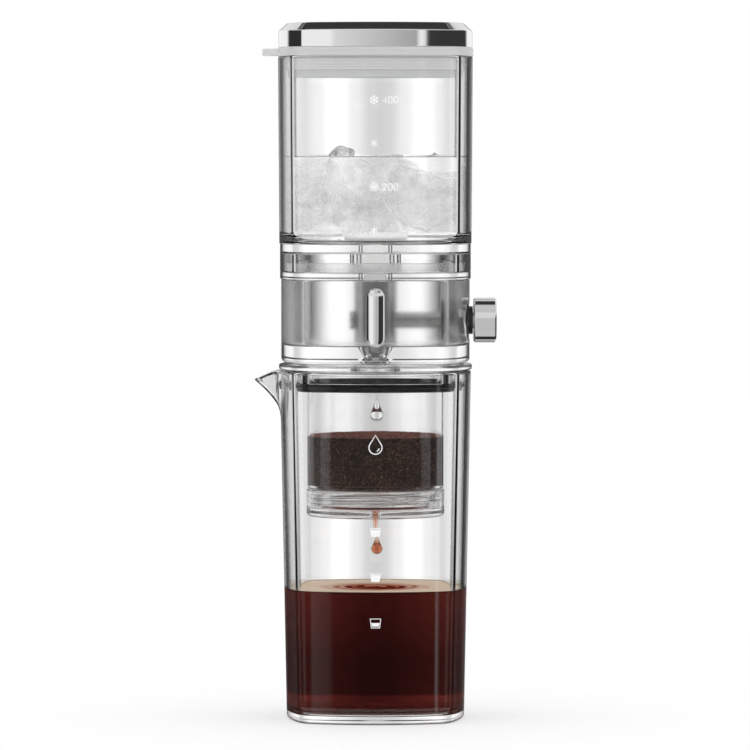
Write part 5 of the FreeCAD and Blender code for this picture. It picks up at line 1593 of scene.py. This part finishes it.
def make_card():
    made = bpy.data.materials.new("graded_card")
    made.use_nodes = True
    made.cycles.emission_sampling = "NONE"
    tree = made.node_tree
    tree.nodes.clear()

    place = add(tree, "ShaderNodeTexCoord")
    x, y, z = add(tree, "ShaderNodeSeparateXYZ", {0: place.outputs["Object"]}).outputs
    levels = ((0, 1.2, 0.5, 0.0), (153, 1.0, 1.0, 0.97), (203, 1.75, 1.0, 0.0), (240.5, 1.0, 2.0, 0.0))
    stops = [(from_z * MM / 0.3, (narrow / 2, middle / 4, dark, 1))
             for from_z, narrow, middle, dark in levels]
    height = add(tree, MATH, (z, 0.3), operation="DIVIDE")
    zones = add(tree, RAMP, {"Fac": height}, stops=stops, between="CONSTANT").outputs[0]
    narrow, middle, dark = add(tree, "ShaderNodeSeparateColor", {0: zones}).outputs
    middle_x = add(tree, MATH, (middle, 4 * MM), operation="MULTIPLY")
    off = add(tree, MATH, (x, middle_x), operation="SUBTRACT")
    distance = add(tree, MATH, (off,), operation="ABSOLUTE")
    per_width = add(tree, MATH, (narrow, 2 / (60 * MM)), operation="MULTIPLY")
    away = add(tree, MATH, (distance, per_width), operation="MULTIPLY")
    # Painted light and shade: the glow is grey in the middle, brightest in a stripe to each side and greyer
    # outwards, widened or narrowed to each zone.
    greys = ((0, 0.72), (4, 0.76), (11, 1.0), (17, 1.2), (22, 1.2), (27, 1.02), (33, 0.9), (38, 0.8),
             (43, 0.76), (60, 0.8))
    stops = [(from_middle / 60, (grey, grey, grey, 1)) for from_middle, grey in greys]
    tones = add(tree, RAMP, {"Fac": away}, stops=stops, between="EASE").outputs[0]
    # Painted shade: where a zone sets dark, the glow fades out from 20 to 31 mm off the middle, and it dims
    # towards the bottom from 58 mm down to 22 mm.
    aside = add(tree, MATH, (x,), operation="ABSOLUTE")
    edge = add(tree, "ShaderNodeMapRange", {0: aside, 1: 20 * MM, 2: 31 * MM},
               interpolation_type="SMOOTHSTEP")
    darkened = add(tree, MATH, (dark, edge), operation="MULTIPLY")
    shade = add(tree, MATH, (1.0, darkened), operation="SUBTRACT")
    low = add(tree, "ShaderNodeMapRange", {0: z, 1: 22 * MM, 2: 58 * MM, 3: 0.35, 4: 1.0}).outputs[0]
    low = add(tree, "ShaderNodeMapRange", {0: z, 1: 6 * MM, 2: 7 * MM, 3: 1.0, 4: low}).outputs[0]
    strength = add(tree, MATH, (low, shade), operation="MULTIPLY")
    tones = add(tree, "ShaderNodeVectorMath", {0: tones, "Scale": strength}, operation="SCALE").outputs[0]
    glow = add(tree, "ShaderNodeEmission", {"Color": tones, "Strength": 1.0})
    add(tree, "ShaderNodeOutputMaterial", {"Surface": glow})
    side, back, top = CARD_HALF * MM, CARD_PLACE * MM, CARD_TOP * MM
    mesh = bpy.data.meshes.new("graded_card")
    mesh.from_pydata([(-side, back, 0.001), (side, back, 0.001), (side, back, top), (-side, back, top)], [],
        [(0, 1, 2, 3)])
    mesh.materials.append(made)
    card = bpy.data.objects.new("graded_card", mesh)
    bpy.context.scene.collection.objects.link(card)
    card.visible_camera = card.visible_diffuse = card.visible_glossy = card.visible_shadow = False
    card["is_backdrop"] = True


make_card()
print("card %.0f mm behind the middle" % CARD_PLACE)

# %% [markdown]
# ## Camera and render settings
# A long lens from far away keeps upright edges nearly upright. Clear walls behind clear walls need many
# bounces, because every surface that a ray crosses uses one up.

# %% Camera
LENS, CAMERA_AWAY, LOOK_DOWN = 268.7, 2401.9, 2.302
LOOK_AT = Vector((-0.2, 0.0, 147.0))
lens = bpy.data.cameras.new("camera")
lens.lens, lens.sensor_width = LENS, 36.0
lens.clip_start, lens.clip_end = 0.05, 20.0
camera = bpy.data.objects.new("camera", lens)
bpy.context.scene.collection.objects.link(camera)
back = Vector((0, -math.cos(math.radians(LOOK_DOWN)), math.sin(math.radians(LOOK_DOWN))))
camera.location = (LOOK_AT + back * CAMERA_AWAY) * MM
camera.rotation_mode = "QUATERNION"
camera.rotation_quaternion = (-back).to_track_quat("-Z", "Y")
bpy.context.scene.camera = camera
print("camera %.0f mm away, looking %.1f deg down" % (CAMERA_AWAY, LOOK_DOWN))

# %% Render settings that belong to the look
scene = bpy.context.scene
scene.view_settings.view_transform = "Standard"
scene.cycles.max_bounces = 48
scene.cycles.transmission_bounces = 48
scene.cycles.transparent_max_bounces = 32
scene.cycles.glossy_bounces = 8
scene.cycles.diffuse_bounces = 3
scene.cycles.use_denoising = True
scene.cycles.sample_clamp_indirect = 8.0
scene.cycles.blur_glossy = 0.0

# %% How far the box grew
final_box = [list(corner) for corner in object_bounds()]
growth = max(abs(a - b) for p, q in zip(frame_box, final_box) for a, b in zip(p, q))
print("box grew by at most %.3f mm" % (growth / MM))
